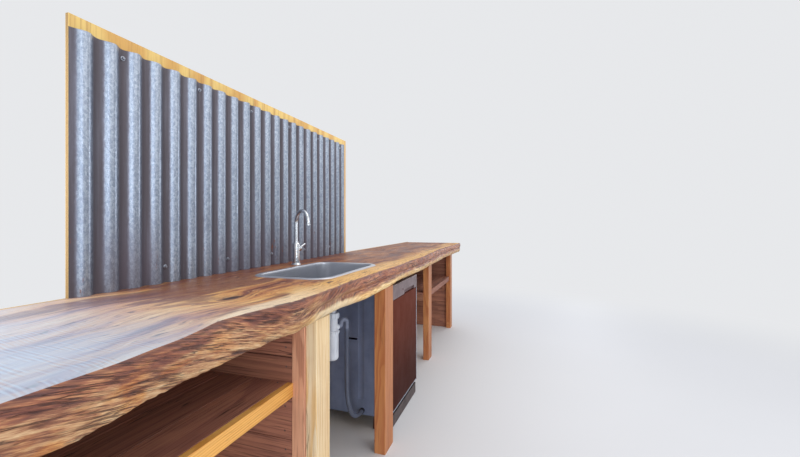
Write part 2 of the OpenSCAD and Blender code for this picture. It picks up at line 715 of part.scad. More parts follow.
// One side panel, from its outer face inwards along +X: flat sheet with closed grooves and a slot
module side_panel() {
    difference() {
        union() {
            translate([0, dy(cab_front), side_z[0]])
                cube([steel_t, cab_front - washer_back, side_z[1] - side_z[0]]);
            for (d = GROOVES) intersection() {
                groove_rod(d, groove_r + steel_t, groove_z);
                translate([0, dy(d) - groove_w, 0]) cube([groove_h + steel_t, 2 * groove_w, washer_h]);
            }
        }
        for (d = GROOVES) groove_rod(d, groove_r, [groove_z[0] + steel_t, groove_z[1] - steel_t]);
        translate([-1, dy(slot_d), slot_z]) rotate([90, 0, 90])
            linear_extrude(steel_t + 2) centred_rect(slot, slot[1] / 2 - eps);
    }
}
module washer_side_panels() {
    color([0.27, 0.31, 0.43]) {
        difference() {
            translate([sx(washer_x[0]), 0, 0]) side_panel();
            at_port(-5) cylinder(d = hose_d + 7, h = 10);
        }
        translate([sx(washer_x[1]), 0, 0]) mirror([1, 0, 0]) side_panel();
    }
}
module washer_back_panel() {
    color([0.55, 0.57, 0.60]) panel([washer_x[0] + steel_t, washer_x[1] - steel_t],
        [washer_back, washer_back + steel_t], [base_z, washer_h - steel_t]);
}
module washer_top_plate() {
    color([0.55, 0.57, 0.60]) panel(washer_x, [washer_back, cab_front], [washer_h - steel_t, washer_h]);
}
tub_s = [washer_x[0] + tub_in, washer_x[1] - tub_in];
tub_d = [washer_back + 30, cab_front];
tub_top = washer_h - 45;
sump_d = (tub_d[0] + tub_d[1]) / 2 + 45;
module at_sump(z) {
    translate([sx(washer_s + washer_w / 2), dy(sump_d), z]) children();
}

// The filter cup in the sump, with the bar that turns it
module filter_cup() {
    cup_r = 0.28 * sump_w;
    wall = 2.5;
    grip = [2 * cup_r - wall, 6, 8];
    difference() {
        cylinder(r = cup_r, h = sump_h);
        translate([0, 0, -1]) cylinder(r = cup_r - wall, h = sump_h + 2);
    }
    translate([-grip[0] / 2, -grip[1] / 2, sump_h - grip[2]]) cube(grip);
}

// Stainless tub: a round-cornered shell open to the front, its front frame and the sump
module washer_tub() {
    t = steel_t;
    color([0.75, 0.76, 0.78]) {
        difference() {
            union() {
                stick(tub_s, tub_d, [tub_z, tub_top], "y", 24);
                at_sump(tub_z - sump_h) cylinder(d = sump_w + 2 * t, h = sump_h);
            }
            stick([tub_s[0] + t, tub_s[1] - t], [tub_d[0] + t, tub_d[1] + 1],
                [tub_z + t, tub_top - t], "y", 24 - t);
            at_sump(tub_z - sump_h + t) cylinder(d = sump_w, h = sump_h + 1);
        }
        at_sump(tub_z - sump_h + t - eps) filter_cup();
        difference() {
            panel([washer_x[0] + t, washer_x[1] - t], [cab_front - t, cab_front], [tub_z, washer_h - t]);
            stick([tub_s[0] + t, tub_s[1] - t], [cab_front - 10, cab_front + 1],
                [tub_z + t, tub_top - t], "y", 24 - t);
        }
    }
}

// Rails on the tub's sides for two racks
track = [7, 14];
TRACK_Z = [tub_z + 190, tub_z + 400];
module rack_rails() {
    left = tub_s[0] + steel_t;
    right = tub_s[1] - steel_t - track[0];
    color([0.78, 0.79, 0.81])
        for (s = [left, right], z = TRACK_Z)
            stick([s, s + track[0]], [tub_d[0] + 24, tub_d[1] - 12], [z, z + track[1]], "y", 3);
}

// Base pan that carries the tub, open at its top
module washer_base() {
    wall = 3;
    s = [washer_x[0] + steel_t, washer_x[1] - steel_t];
    d = [washer_back + steel_t, cab_front - steel_t];
    color([0.20, 0.20, 0.22]) {
        difference() {
            panel(s, d, [base_z, tub_z]);
            panel([s[0] + wall, s[1] - wall], [d[0] + wall, d[1] - wall], [base_z + wall, tub_z + 1]);
        }
        // port for the drain hose
        at_port(-port_l) cylinder(d = hose_d + 6, h = port_l + steel_t + 1);
    }
}
hinge_d = washer_front - pan_t - liner_t / 2;
door_low = hinge_z - liner_t / 2;
plinth_h = hinge_z - norm([washer_front - hinge_d, hinge_z - door_low]) - sweep_gap;
module washer_plinth() {
    wall = 4;
    front = washer_front - 6;
    s = [washer_x[0] + 2, washer_x[1] - 2];
    color([0.16, 0.13, 0.13]) {
        panel(s, [front - wall, front], [2, plinth_h]);
        for (x = [s[0], s[1] - wall]) {
            panel([x, x + wall], [cab_front - 60, front - wall], [2, plinth_h]);
            panel([x, x + wall], [cab_front - 60, cab_front - 4], [plinth_h, base_z]);
        }
    }
}
foot_inset = [40, 45];
module washer_feet() {
    color([0.12, 0.12, 0.13])
        for (s = [washer_x[0] + foot_inset[0], washer_x[1] - foot_inset[0]],
             d = [washer_back + foot_inset[1], cab_front - foot_inset[1]])
            translate([sx(s), dy(d), 0]) {
                cylinder(d = 34, h = 8);
                translate([0, 0, 8]) cylinder(d = 24, h = 7, $fn = 6);
                cylinder(d = 12, h = base_z);
            }
}

// Door: hinged at its lower edge on two pins that the base's brackets hold
liner_s = [washer_x[0] + 34, washer_x[1] - 34];
bracket_t = 8;
bracket_gap = 6;
pin_in = 20;
bracket_r = 6;
module washer_hinge_pins() {
    color([0.60, 0.61, 0.63])
        for (side = [0, 1]) {
            s = side == 0 ? liner_s[0] - bracket_gap - bracket_t : liner_s[1] + bracket_gap;
            translate([sx(s), dy(hinge_d), hinge_z]) rotate([0, 90, 0])
                cylinder(r = bracket_r, h = bracket_t);
            panel([s, s + bracket_t], [cab_front - steel_t, hinge_d],
                [hinge_z - bracket_r, hinge_z + bracket_r]);
            pin_s = side == 0 ? s : liner_s[1] - pin_in;
            translate([sx(pin_s), dy(hinge_d), hinge_z]) rotate([0, 90, 0])
                cylinder(d = pin_d, h = bracket_t + bracket_gap + pin_in);
        }
}
door_top = washer_h - 3;
pan_top = door_top - fascia_h - 2;
bar_h = 14;
// The pan and the fascia are folded back behind, up to the liner
return_in = 12;
module back_window(z) {
    panel([liner_s[0] + return_in, liner_s[1] - return_in],
        [washer_front - pan_t - 1, washer_front - pan_t / 2], z);
}
// A field is pressed into the liner's inner face, and the dispenser lies in it
liner_face = hinge_d - liner_t / 2;
press_s = [liner_s[0] + 36, liner_s[1] - 36];
press_z = [hinge_z + 52, door_top - 52];
dispenser_s = [washer_s + 150, washer_s + 290];
dispenser_z = [380, 500];
module press_field(grow, deep) {
    stick([press_s[0] - grow, press_s[1] + grow], [liner_face - 1, liner_face + deep],
        [press_z[0] - grow, press_z[1] + grow], "y", 16 + grow);
}
module door_liner() {
    t = 1.5;
    color([0.75, 0.76, 0.78]) difference() {
        union() {
            panel(liner_s, [liner_face, hinge_d + liner_t / 2], [hinge_z, door_top]);
            translate([sx(liner_s[0]), dy(hinge_d), hinge_z]) rotate([0, 90, 0])
                cylinder(d = liner_t, h = liner_s[1] - liner_s[0]);
        }
        difference() {
            press_field(0, press_h);
            stick(dispenser_s, [liner_face + 1, liner_face + press_h + 1], dispenser_z, "y", 10);
        }
        // hollow above the hinge bar, closed by the outer pan
        difference() {
            panel([liner_s[0] + t, liner_s[1] - t], [liner_face + t, hinge_d + liner_t],
                [hinge_z + bar_h, door_top - t]);
            press_field(t, press_h + t);
        }
        for (s = [liner_s[0] - 1, liner_s[1] - pin_in - 2])
            translate([sx(s), dy(hinge_d), hinge_z]) rotate([0, 90, 0])
                cylinder(d = pin_d + 2 * turn_gap, h = pin_in + 3);
    }
}
module door_pan() {
    t = steel_t;
    d0 = washer_front - pan_t;
    color([0.33, 0.20, 0.17]) difference() {
        panel(washer_x, [d0, washer_front], [door_low, pan_top]);
        panel([washer_x[0] + t, washer_x[1] - t], [d0 + t, washer_front - t], [door_low + t, pan_top - t]);
        back_window([door_low + liner_t, pan_top - t]);
    }
}
handle_s = [washer_s + 230, washer_s + 440];
module door_fascia() {
    t = 2.5;
    d0 = washer_front - pan_t;
    z0 = door_top - fascia_h;
    color([0.42, 0.40, 0.42]) {
        difference() {
            stick(washer_x, [d0, washer_front + 2], [z0, door_top], "x", 4);
            panel([washer_x[0] + t, handle_s[0] - t], [d0 + t, washer_front - t], [z0 + t, door_top - t]);
            panel([handle_s[1] + t, washer_x[1] - t], [d0 + t, washer_front - t], [z0 + t, door_top - t]);
            panel([handle_s[0] - t - 1, handle_s[1] + t + 1], [d0 + t, washer_front - t],
                [z0 + 34, door_top - t]);
            back_window([z0 + 34, door_top - t]);
            // scooped handle in the lower edge
            translate([sx(handle_s[0]), dy(washer_front + 12), z0 + 2]) rotate([0, 90, 0])
                cylinder(r = 24, h = handle_s[1] - handle_s[0]);
        }
        translate([sx(washer_s + 206), dy(washer_front + 2 - eps), z0 + 34]) rotate([90, 0, 0])
            cylinder(d = 12, h = 3);
    }
}

bench_slab();
left_end_post();
pale_post();
divider_stud();
sink_post();
shelf_post();
right_end_post();
wall_ledger();
left_end_boards();
divider_boards();
right_end_boards();
partition_battens();
left_shelf_rail();
left_shelf_boards();
left_shelf_cleats();
right_shelf_rail();
right_shelf_boards();
right_shelf_bearers();
lower_lining();
upper_lining();
splash_sheet_left();
splash_sheet_middle();
splash_sheet_right();
sink_bowl();
sink_waste();
bottle_trap();
waste_pipe();
hose_elbow();
drain_hose();
tap_body();
tap_backnut();
tap_spout();
tap_lever();
washer_side_panels();
washer_back_panel();
washer_top_plate();
washer_tub();
rack_rails();
washer_base();
washer_plinth();
washer_feet();
washer_hinge_pins();
door_liner();
door_pan();
door_fascia();
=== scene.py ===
"""The looks of the live-edge kitchen bench, made round its packed frame."""

import json
import math

import bpy
import numpy as np
from mathutils import Vector
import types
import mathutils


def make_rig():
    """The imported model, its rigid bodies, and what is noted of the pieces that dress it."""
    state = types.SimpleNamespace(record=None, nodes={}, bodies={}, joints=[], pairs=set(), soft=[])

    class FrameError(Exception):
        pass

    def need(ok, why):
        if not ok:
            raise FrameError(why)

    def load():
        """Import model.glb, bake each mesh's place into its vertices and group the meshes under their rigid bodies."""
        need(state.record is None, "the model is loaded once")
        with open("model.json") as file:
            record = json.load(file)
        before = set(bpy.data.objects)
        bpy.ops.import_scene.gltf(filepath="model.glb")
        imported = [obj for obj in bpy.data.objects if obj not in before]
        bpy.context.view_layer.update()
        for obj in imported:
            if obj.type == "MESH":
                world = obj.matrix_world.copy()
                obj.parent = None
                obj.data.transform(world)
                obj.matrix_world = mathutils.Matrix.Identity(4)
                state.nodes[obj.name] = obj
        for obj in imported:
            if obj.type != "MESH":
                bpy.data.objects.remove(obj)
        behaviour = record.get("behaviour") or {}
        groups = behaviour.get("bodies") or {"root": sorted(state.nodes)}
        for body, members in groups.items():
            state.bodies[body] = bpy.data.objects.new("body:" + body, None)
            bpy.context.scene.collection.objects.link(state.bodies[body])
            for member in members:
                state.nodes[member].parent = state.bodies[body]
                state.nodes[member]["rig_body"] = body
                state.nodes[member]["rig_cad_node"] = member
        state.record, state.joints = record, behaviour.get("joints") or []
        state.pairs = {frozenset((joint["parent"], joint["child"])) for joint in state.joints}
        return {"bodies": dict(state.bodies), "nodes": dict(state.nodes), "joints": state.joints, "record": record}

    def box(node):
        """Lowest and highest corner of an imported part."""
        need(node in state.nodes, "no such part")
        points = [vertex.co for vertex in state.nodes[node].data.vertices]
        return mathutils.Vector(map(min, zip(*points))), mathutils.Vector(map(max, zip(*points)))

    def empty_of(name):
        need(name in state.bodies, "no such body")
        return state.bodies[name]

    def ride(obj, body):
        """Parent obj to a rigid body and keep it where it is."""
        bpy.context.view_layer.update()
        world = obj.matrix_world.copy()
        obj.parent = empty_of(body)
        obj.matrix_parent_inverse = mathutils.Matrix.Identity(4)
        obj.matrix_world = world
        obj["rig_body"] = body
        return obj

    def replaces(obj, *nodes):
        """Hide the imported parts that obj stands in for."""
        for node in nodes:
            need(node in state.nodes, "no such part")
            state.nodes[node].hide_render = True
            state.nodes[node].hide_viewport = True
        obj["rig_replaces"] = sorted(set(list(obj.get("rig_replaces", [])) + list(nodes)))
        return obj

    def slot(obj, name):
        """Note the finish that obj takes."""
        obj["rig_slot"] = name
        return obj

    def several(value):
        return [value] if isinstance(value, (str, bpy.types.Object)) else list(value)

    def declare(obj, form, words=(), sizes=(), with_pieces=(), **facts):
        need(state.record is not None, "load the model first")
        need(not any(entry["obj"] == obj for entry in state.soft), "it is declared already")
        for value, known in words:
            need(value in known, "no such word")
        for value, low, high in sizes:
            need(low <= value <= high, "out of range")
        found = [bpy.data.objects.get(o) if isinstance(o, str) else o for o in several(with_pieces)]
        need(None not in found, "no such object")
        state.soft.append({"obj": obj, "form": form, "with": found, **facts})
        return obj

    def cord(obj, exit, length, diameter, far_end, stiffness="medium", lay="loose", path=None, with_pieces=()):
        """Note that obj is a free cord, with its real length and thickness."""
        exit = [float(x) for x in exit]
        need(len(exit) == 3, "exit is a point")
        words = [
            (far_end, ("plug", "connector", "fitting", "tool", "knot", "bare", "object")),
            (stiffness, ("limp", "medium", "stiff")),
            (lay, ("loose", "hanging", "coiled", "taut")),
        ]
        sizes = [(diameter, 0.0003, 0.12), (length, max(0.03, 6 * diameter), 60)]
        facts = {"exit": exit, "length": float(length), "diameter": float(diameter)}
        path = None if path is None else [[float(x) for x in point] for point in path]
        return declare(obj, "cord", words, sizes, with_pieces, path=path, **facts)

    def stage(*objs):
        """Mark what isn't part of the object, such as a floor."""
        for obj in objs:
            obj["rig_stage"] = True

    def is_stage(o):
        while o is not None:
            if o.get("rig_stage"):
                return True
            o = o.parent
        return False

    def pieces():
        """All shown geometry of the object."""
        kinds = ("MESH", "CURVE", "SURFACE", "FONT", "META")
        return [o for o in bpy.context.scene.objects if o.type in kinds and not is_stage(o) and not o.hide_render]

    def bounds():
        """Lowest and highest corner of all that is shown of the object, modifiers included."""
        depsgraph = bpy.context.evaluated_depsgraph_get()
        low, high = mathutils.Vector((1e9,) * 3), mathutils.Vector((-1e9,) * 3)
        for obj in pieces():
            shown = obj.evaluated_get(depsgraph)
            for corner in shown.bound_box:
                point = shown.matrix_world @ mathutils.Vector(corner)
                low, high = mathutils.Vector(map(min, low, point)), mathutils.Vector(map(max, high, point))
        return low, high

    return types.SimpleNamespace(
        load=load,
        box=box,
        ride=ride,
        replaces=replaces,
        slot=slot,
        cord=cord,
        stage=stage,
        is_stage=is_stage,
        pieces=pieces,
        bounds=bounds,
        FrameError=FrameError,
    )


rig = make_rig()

bl_info = {
    "name": "Live-edge kitchen bench",
    "version": (1, 0, 0),
    "blender": (4, 5, 0),
    "location": "View3D > Sidebar > Bench",
    "description": "Finishes and fine pieces of a slab bench with sink, tap, shelves and dishwasher",
    "category": "Object",
}

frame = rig.load()
CAD_BOX = [list(corner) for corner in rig.bounds()]
NODES = frame["nodes"]

# Planes that the pieces share, read from the frame
LEFT_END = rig.box("bench_slab")[0].x
TOP_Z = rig.box("bench_slab")[1].z
UNDER_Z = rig.box("bench_slab")[0].z
WALL_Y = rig.box("lower_lining")[0].y
HOSE_LOW, HOSE_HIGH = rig.box("drain_hose")


# Numbers and arrays


def colour(red, green, blue):
    """A colour written from 0 to 255 as the linear colour that a shader takes."""
    c = np.array([red, green, blue]) / 255
    linear = np.where(c <= 0.04045, c / 12.92, ((c + 0.055) / 1.055) ** 2.4)
    return (*linear.tolist(), 1.0)


def ease(t):
    """Smoothstep: 3t² - 2t³ on t held between 0 and 1."""
    t = np.clip(t, 0, 1)
    return t * t * (3 - 2 * t)


def along_keys(keys, x):
    """Values at x that pass smoothly, by smoothstep, through (place, value) keys."""
    places, values = np.array(keys, float).T
    i = np.clip(np.searchsorted(places, x) - 1, 0, len(places) - 2)
    t = ease((x - places[i]) / (places[i + 1] - places[i]))
    return values[i] * (1 - t) + values[i + 1] * t


def value_noise(x, y, seed):
    """Smooth noise from -1 to 1: random heights on whole-number corners, blended by smoothstep."""
    table = np.random.RandomState(seed).uniform(-1, 1, (256, 256))
    x0, y0 = np.floor(x).astype(int), np.floor(y).astype(int)
    tx, ty = ease(x - x0), ease(y - y0)
    low = table[x0 % 256, y0 % 256] * (1 - tx) + table[(x0 + 1) % 256, y0 % 256] * tx
    high = table[x0 % 256, (y0 + 1) % 256] * (1 - tx) + table[(x0 + 1) % 256, (y0 + 1) % 256] * tx
    return low * (1 - ty) + high * ty


def layered_noise(x, y, seed, layers=3):
    """Sum of value noises, each at twice the scale and half the height of the one before."""
    total = sum(value_noise(x * 2**k, y * 2**k, seed + k) / 2**k for k in range(layers))
    return total / (2 - 0.5 ** (layers - 1))


def circle(sides, first=0.0, turn=1):
    """Points of a unit circle in even steps, as (cosine, sine) rows."""
    angle = turn * np.linspace(0, 2 * np.pi, sides, endpoint=False) + first
    return np.stack([np.cos(angle), np.sin(angle)], -1)


def run_along(points):
    """How far along a line each of its points lies."""
    return np.concatenate([[0], np.cumsum(np.linalg.norm(np.diff(points, axis=0), axis=1))])


def resample(places, rows, wanted):
    """Rows of numbers carried to new places by Hermite cubics, with slopes from the rows beside each."""
    rows = np.asarray(rows, float)
    slope = np.gradient(rows, places, axis=0)
    i = np.clip(np.searchsorted(places, wanted) - 1, 0, len(places) - 2)
    gap = (places[i + 1] - places[i])[:, None]
    t = ((wanted - places[i]) / gap[:, 0])[:, None]
    a, b = rows[i], rows[i + 1]
    return (
        (2 * t**3 - 3 * t**2 + 1) * a
        + (t**3 - 2 * t**2 + t) * gap * slope[i]
        + (3 * t**2 - 2 * t**3) * b
        + (t**3 - t**2) * gap * slope[i + 1]
    )


# Meshes from grids of points


def grid_faces(rows, columns):
    """Quads over a grid of points, as corner numbers, with the last column joined to the first."""
    r = np.arange(rows - 1)[:, None] * columns
    c = np.arange(columns)[None, :]
    d = (c + 1) % columns
    return np.stack([r + c, r + d, r + columns + d, r + columns + c], -1).reshape(-1, 4)


def in_scene(name, data):
    """A new object in the scene, of a mesh, a lamp or a camera."""
    made = bpy.data.objects.new(name, data)
    bpy.context.scene.collection.objects.link(made)
    return made


def mesh_object(name, points, quads, triangles=(), smooth=True):
    """An object at the origin from whole arrays of points, quads and triangles."""
    points, quads = np.asarray(points, np.float32), np.asarray(quads, np.int32).reshape(-1, 4)
    triangles = np.asarray(triangles, np.int32).reshape(-1, 3)
    mesh = bpy.data.meshes.new(name)
    mesh.vertices.add(len(points))
    mesh.vertices.foreach_set("co", points.ravel())
    corners = np.concatenate([quads.ravel(), triangles.ravel()])
    starts = np.concatenate([np.arange(len(quads)) * 4, len(quads) * 4 + np.arange(len(triangles)) * 3])
    mesh.loops.add(len(corners))
    mesh.loops.foreach_set("vertex_index", corners)
    mesh.polygons.add(len(starts))
    mesh.polygons.foreach_set("loop_start", starts.astype(np.int32))
    mesh.polygons.foreach_set("use_smooth", np.full(len(starts), smooth))
    mesh.update(calc_edges=True)
    mesh.validate()
    return in_scene(name, mesh)


def tube_mesh(rings, closed_ends=True):
    """Points and faces of rings joined one to the next and round, its two ends closed by fans."""
    count, sides = rings.shape[:2]
    points = rings.reshape(-1, 3)
    quads = grid_faces(count, sides)
    if not closed_ends:
        return points, quads, np.zeros((0, 3), int)
    centres = np.array([rings[0].mean(0), rings[-1].mean(0)])
    k = np.arange(sides)
    start = np.stack([np.full(sides, len(points)), (k + 1) % sides, k], -1)
    base = (count - 1) * sides
    end = np.stack([np.full(sides, len(points) + 1), base + k, base + (k + 1) % sides], -1)
    return np.concatenate([points, centres]), quads, np.concatenate([start, end])


def joined(parts):
    """Several (points, quads, triangles) as one, each part's corner numbers moved past the others'."""
    points, quads, triangles, first = [], [], [], 0
    for p, q, t in parts:
        points.append(p)
        quads.append(np.asarray(q, int).reshape(-1, 4) + first)
        triangles.append(np.asarray(t, int).reshape(-1, 3) + first)
        first += len(p)
    return np.concatenate(points), np.concatenate(quads), np.concatenate(triangles)


def put_at(points, place, axis):
    """Points about the origin turned so that +Z follows axis, then moved to place."""
    turn = np.array(Vector(axis).to_track_quat("Z", "Y").to_matrix())
    return points @ turn.T + np.array(place)


def turned_parts(profile, places, axes, sides):
    """Copies of one closed turned shape, each at its place and along its axis: circles about +Z, whose radius
    and height the profile gives."""
    radius, height = np.array(profile, float).T[:, :, None]
    x, y = circle(sides).T
    points, quads, triangles = tube_mesh(np.stack([radius * x, radius * y, height + 0 * x], -1))
    return joined([(put_at(points, p, a), quads, triangles) for p, a in zip(places, axes)])


def give(piece, body, slot, *finishes):
    """Finishes a piece: its materials, the body that it rides on and the record's slot."""
    for finish in finishes:
        piece.data.materials.append(finish)
    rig.ride(piece, body)
    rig.slot(piece, slot)


def set_attribute(piece, name, values):
    """A number on each corner point of a piece, for its material to read."""
    made = piece.data.attributes.new(name, "FLOAT", "POINT")
    made.data.foreach_set("value", np.asarray(values, np.float32).ravel())


def middle_of(name):
    """X and Y of the middle of a CAD piece's box."""
    low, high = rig.box(name)
    return (low.x + high.x) / 2, (low.y + high.y) / 2


def colour_setting(name, description, *shade):
    """A colour in a group of settings, its default written from 0 to 255."""
    return bpy.props.FloatVectorProperty(
        name=name, description=description, subtype="COLOR", min=0, max=1, default=colour(*shade)[:3])


# Shader building


def feed(socket, value):
    """Links a socket from a Value, or sets it. A colour of three numbers is written from 0 to 255."""
    if isinstance(value, Value):
        socket.id_data.links.new(value.socket, socket)
    elif socket.type == "RGBA" and len(value) == 3:
        socket.default_value = colour(*value)
    else:
        socket.default_value = value


class Value:
    """An output socket in a tree. Numbers add, subtract, multiply and divide through Math nodes."""

    def __init__(self, tree, socket):
        self.tree, self.socket = tree, socket

    def through(self, operation, *others):
        """What one Math node makes of this number and others."""
        return self.tree.maths(operation, self, *others)

    def __add__(self, other):
        return self.through("ADD", other)

    def __sub__(self, other):
        return self.through("SUBTRACT", other)

    def __rsub__(self, other):
        return self.tree.maths("SUBTRACT", other, self)

    def __mul__(self, other):
        return self.through("MULTIPLY", other)

    def __truediv__(self, other):
        return self.through("DIVIDE", other)

    def __rtruediv__(self, other):
        return self.tree.maths("DIVIDE", other, self)

    def __abs__(self):
        return self.through("ABSOLUTE")

    def between(self, low, high, to_low=0.0, to_high=1.0, curve="SMOOTHSTEP"):
        """This number carried from low..high to to_low..to_high and held there."""
        return self.tree.node("ShaderNodeMapRange", {"interpolation_type": curve},
                              (self, low, high, to_low, to_high))[0]

    def ramp(self, stops):
        """The colour of this number on a ramp, whose stops give a colour for each place."""
        made = self.tree.node("ShaderNodeValToRGB", Fac=self)
        elements = made.node.color_ramp.elements
        while len(elements) < len(stops):
            elements.new(0.5)
        for element, (place, shade) in zip(elements, stops.items()):
            element.position = place
            element.color = colour(*shade)
        return made[0]

    def tinted(self, shade, factor):
        """This colour mixed towards another one by a factor."""
        return self.tree.mix(factor, self, shade)

    def scaled(self, factor):
        """This colour made lighter or darker by a number."""
        made = self.tree.node("ShaderNodeVectorMath", {"operation": "SCALE"}, (self,), Scale=factor)
        return made[0]


class Made:
    """A node in a tree, whose outputs are read by name or number."""

    def __init__(self, tree, made):
        self.tree, self.node = tree, made

    def __getitem__(self, key):
        return Value(self.tree, self.node.outputs[key])


class Tree:
    """The shader tree of a material, an effect or the world."""

    def __init__(self, tree, owner=None):
        self.tree, self.owner = tree, owner

    def node(self, kind, settings=None, values=(), **inputs):
        """A new node with settings, first inputs in order and others by name, underscores for blanks."""
        made = self.tree.nodes.new(kind)
        for key, value in (settings or {}).items():
            setattr(made, key, value)
        for socket, value in zip(made.inputs, values):
            feed(socket, value)
        for key, value in inputs.items():
            feed(made.inputs[key.replace("_", " ")], value)
        return Made(self, made)

    def maths(self, operation, *values):
        """The result of one Math node."""
        return self.node("ShaderNodeMath", {"operation": operation}, values)[0]

    def vector_maths(self, operation, *values):
        """The result of one Vector Math node."""
        return self.node("ShaderNodeVectorMath", {"operation": operation}, values)[0]

    def mix(self, factor, a, b):
        """Two colours mixed by a factor."""
        made = self.node("ShaderNodeMix", {"data_type": "RGBA"})
        for index, value in ((0, factor), (6, a), (7, b)):
            feed(made.node.inputs[index], value)
        return made[2]

    def place(self):
        """Object coordinates."""
        return self.node("ShaderNodeTexCoord")["Object"]

    def split(self, vector):
        """The three numbers of a vector."""
        made = self.node("ShaderNodeSeparateXYZ", Vector=vector)
        return made[0], made[1], made[2]

    def join(self, x, y):
        """A flat place from two numbers."""
        return self.node("ShaderNodeCombineXYZ", X=x, Y=y)[0]

    def stretched(self, vector, scale, shift=(0, 0, 0)):
        """A place stretched along each axis, then moved."""
        return self.node("ShaderNodeMapping", Vector=vector, Scale=scale, Location=shift)[0]

    def noise(self, vector, scale, detail=3, roughness=0.5, shift=(0, 0, 0), distortion=0.0):
        """Noise from 0 to 1 at a place, which a scale of three numbers stretches and shift then moves."""
        if isinstance(scale, tuple):
            vector, scale = self.stretched(vector, scale, shift), 1.0
        return self.node("ShaderNodeTexNoise", Vector=vector, Scale=scale, Detail=detail,
                         Roughness=roughness, Distortion=distortion)[0]

    def cells(self, vector, scale):
        """A Voronoi node, whose outputs are its distance and its cell's colour."""
        return self.node("ShaderNodeTexVoronoi", Vector=vector, Scale=scale)

    def attribute(self, name):
        """A number that the piece carries on its points."""
        return self.node("ShaderNodeAttribute", {"attribute_name": name})["Fac"]

    def bump(self, height, distance, strength):
        """A normal from a height, distance being the height in metres of a step from 0 to 1."""
        return self.node("ShaderNodeBump", Height=height, Distance=distance, Strength=strength)[0]

    def effect(self, build, **inputs):
        """A shared effect placed in this tree."""
        return self.node("ShaderNodeGroup", {"node_tree": build()}, **inputs)

    def give_out(self, **outputs):
        """Ends an effect's tree with its named outputs, and returns its node group."""
        for name, value in outputs.items():
            kind = "NodeSocketVector" if value.socket.type == "VECTOR" else "NodeSocketFloat"
            self.tree.interface.new_socket(name=name, in_out="OUTPUT", socket_type=kind)
        self.node("NodeGroupOutput", **outputs)
        return self.tree

    def surface(self, **inputs):
        """Feeds or sets the Principled shader's sockets, blanks as underscores, and returns the material."""
        for key, value in inputs.items():
            feed(self.tree.nodes["Principled BSDF"].inputs[key.replace("_", " ")], value)
        return self.owner

    def blend_to(self, end, factor, first, second):
        """Ends the tree at a named node with two shaders, blended by a factor."""
        blend = self.node("ShaderNodeMixShader", None, (factor, first, second))
        feed(self.tree.nodes[end].inputs["Surface"], blend[0])


def new_finish(name):
    """The tree of a new material."""
    made = bpy.data.materials.new(name)
    made.use_nodes = True
    return Tree(made.node_tree, made)


def new_effect(name, inputs):
    """The tree of a new node group and the node of its inputs, which are numbers but for Vector."""
    group = bpy.data.node_groups.new(name, "ShaderNodeTree")
    for socket in inputs.split():
        kind = "NodeSocketVector" if socket == "Vector" else "NodeSocketFloat"
        group.interface.new_socket(name=socket, in_out="INPUT", socket_type=kind)
    tree = Tree(group)
    return tree, tree.node("NodeGroupInput")


def shared(build):
    """Runs an effect's or a material's builder once for the same values and keeps what it made."""
    kept = {}

    def once(*key):
        if key not in kept:
            kept[key] = build(*key)
        return kept[key]

    once.__doc__ = build.__doc__
    return once


@shared
def timber_effect():
    """Growth rings about a tilted pith, fibres, knots and drying cracks, for timber whose grain follows X."""
    tree, given = new_effect("timber_grain", "Vector Spacing Warp")
    vector = given["Vector"]
    long_way = tree.stretched(vector, (1.3, 9, 9))
    knot = tree.cells(vector, 2.6)["Distance"]
    x, y, z = tree.split(vector)
    y = x * 0.035 + y
    z = x * -0.02 + z
    radius = (y * y + z * z).through("SQRT") + knot.between(0.2, 0.03, 0.0, 0.022)
    warped = (tree.noise(long_way, 1.0) - 0.5) * given["Warp"] + radius
    turns = (warped / given["Spacing"]).through("FRACT")
    crack = abs(tree.noise(vector, (2.2, 46, 46), 2) - 0.5).between(0.014, 0.004)
    return tree.give_out(
        Rings=turns.between(0.25, 0.85) * turns.between(1.0, 0.9),
        Fibres=tree.noise(vector, (5, 260, 260), 3, 0.6),
        Knots=knot.between(0.075, 0.03),
        Patches=tree.noise(long_way, 0.8, 2),
        Cracks=crack * tree.noise(vector, (2.6, 12, 12), 1, 0.5, (3, 0, 0)).between(0.56, 0.62),
    )


@shared
def board_effect():
    """A tone and a shift for each board of a row that repeats by a pitch."""
    tree, given = new_effect("each_board", "Place Pitch")
    index = (given["Place"] / given["Pitch"]).through("FLOOR")
    random = tree.node("ShaderNodeTexWhiteNoise", {"noise_dimensions": "1D"}, W=index)
    return tree.give_out(
        Tone=random["Value"], Shift=tree.vector_maths("MULTIPLY", random["Color"], (3.0, 0.4, 0.4)))


@shared
def grime_effect():
    """Dust and stains in soft patches."""
    tree, given = new_effect("grime", "Vector Scale")
    return tree.give_out(Patches=tree.noise(given["Vector"], given["Scale"], 5, 0.62).between(0.42, 0.72))


@shared
def spangle_effect():
    """Zinc crystals: flat cells of differing shade, in two sizes."""
    tree, given = new_effect("zinc_spangle", "Vector Size")
    scale = 1.0 / given["Size"]
    wide, small = (
        tree.node("ShaderNodeSeparateColor", Color=tree.cells(given["Vector"], size)["Color"])[0]
        for size in (scale, scale * 2.6)
    )
    return tree.give_out(Shade=wide * 0.6 + small * 0.4)


@shared
def smudge_effect():
    """Slow and fine changes of gloss, as wiping leaves on metal and plastic."""
    tree, given = new_effect("smudges", "Vector Scale")
    slow = tree.noise(given["Vector"], given["Scale"], 4, 0.6)
    streaks = tree.noise(tree.stretched(given["Vector"], (1, 1, 0.2)), given["Scale"] * 6)
    return tree.give_out(Gloss=slow * 0.7 + streaks * 0.3)


# Turns that lay a timber pattern's X along the piece
GRAIN_TURNS = {"x": (0, 0, 0), "y": (0, 0, math.radians(-90)), "z": (0, math.radians(90), 0)}

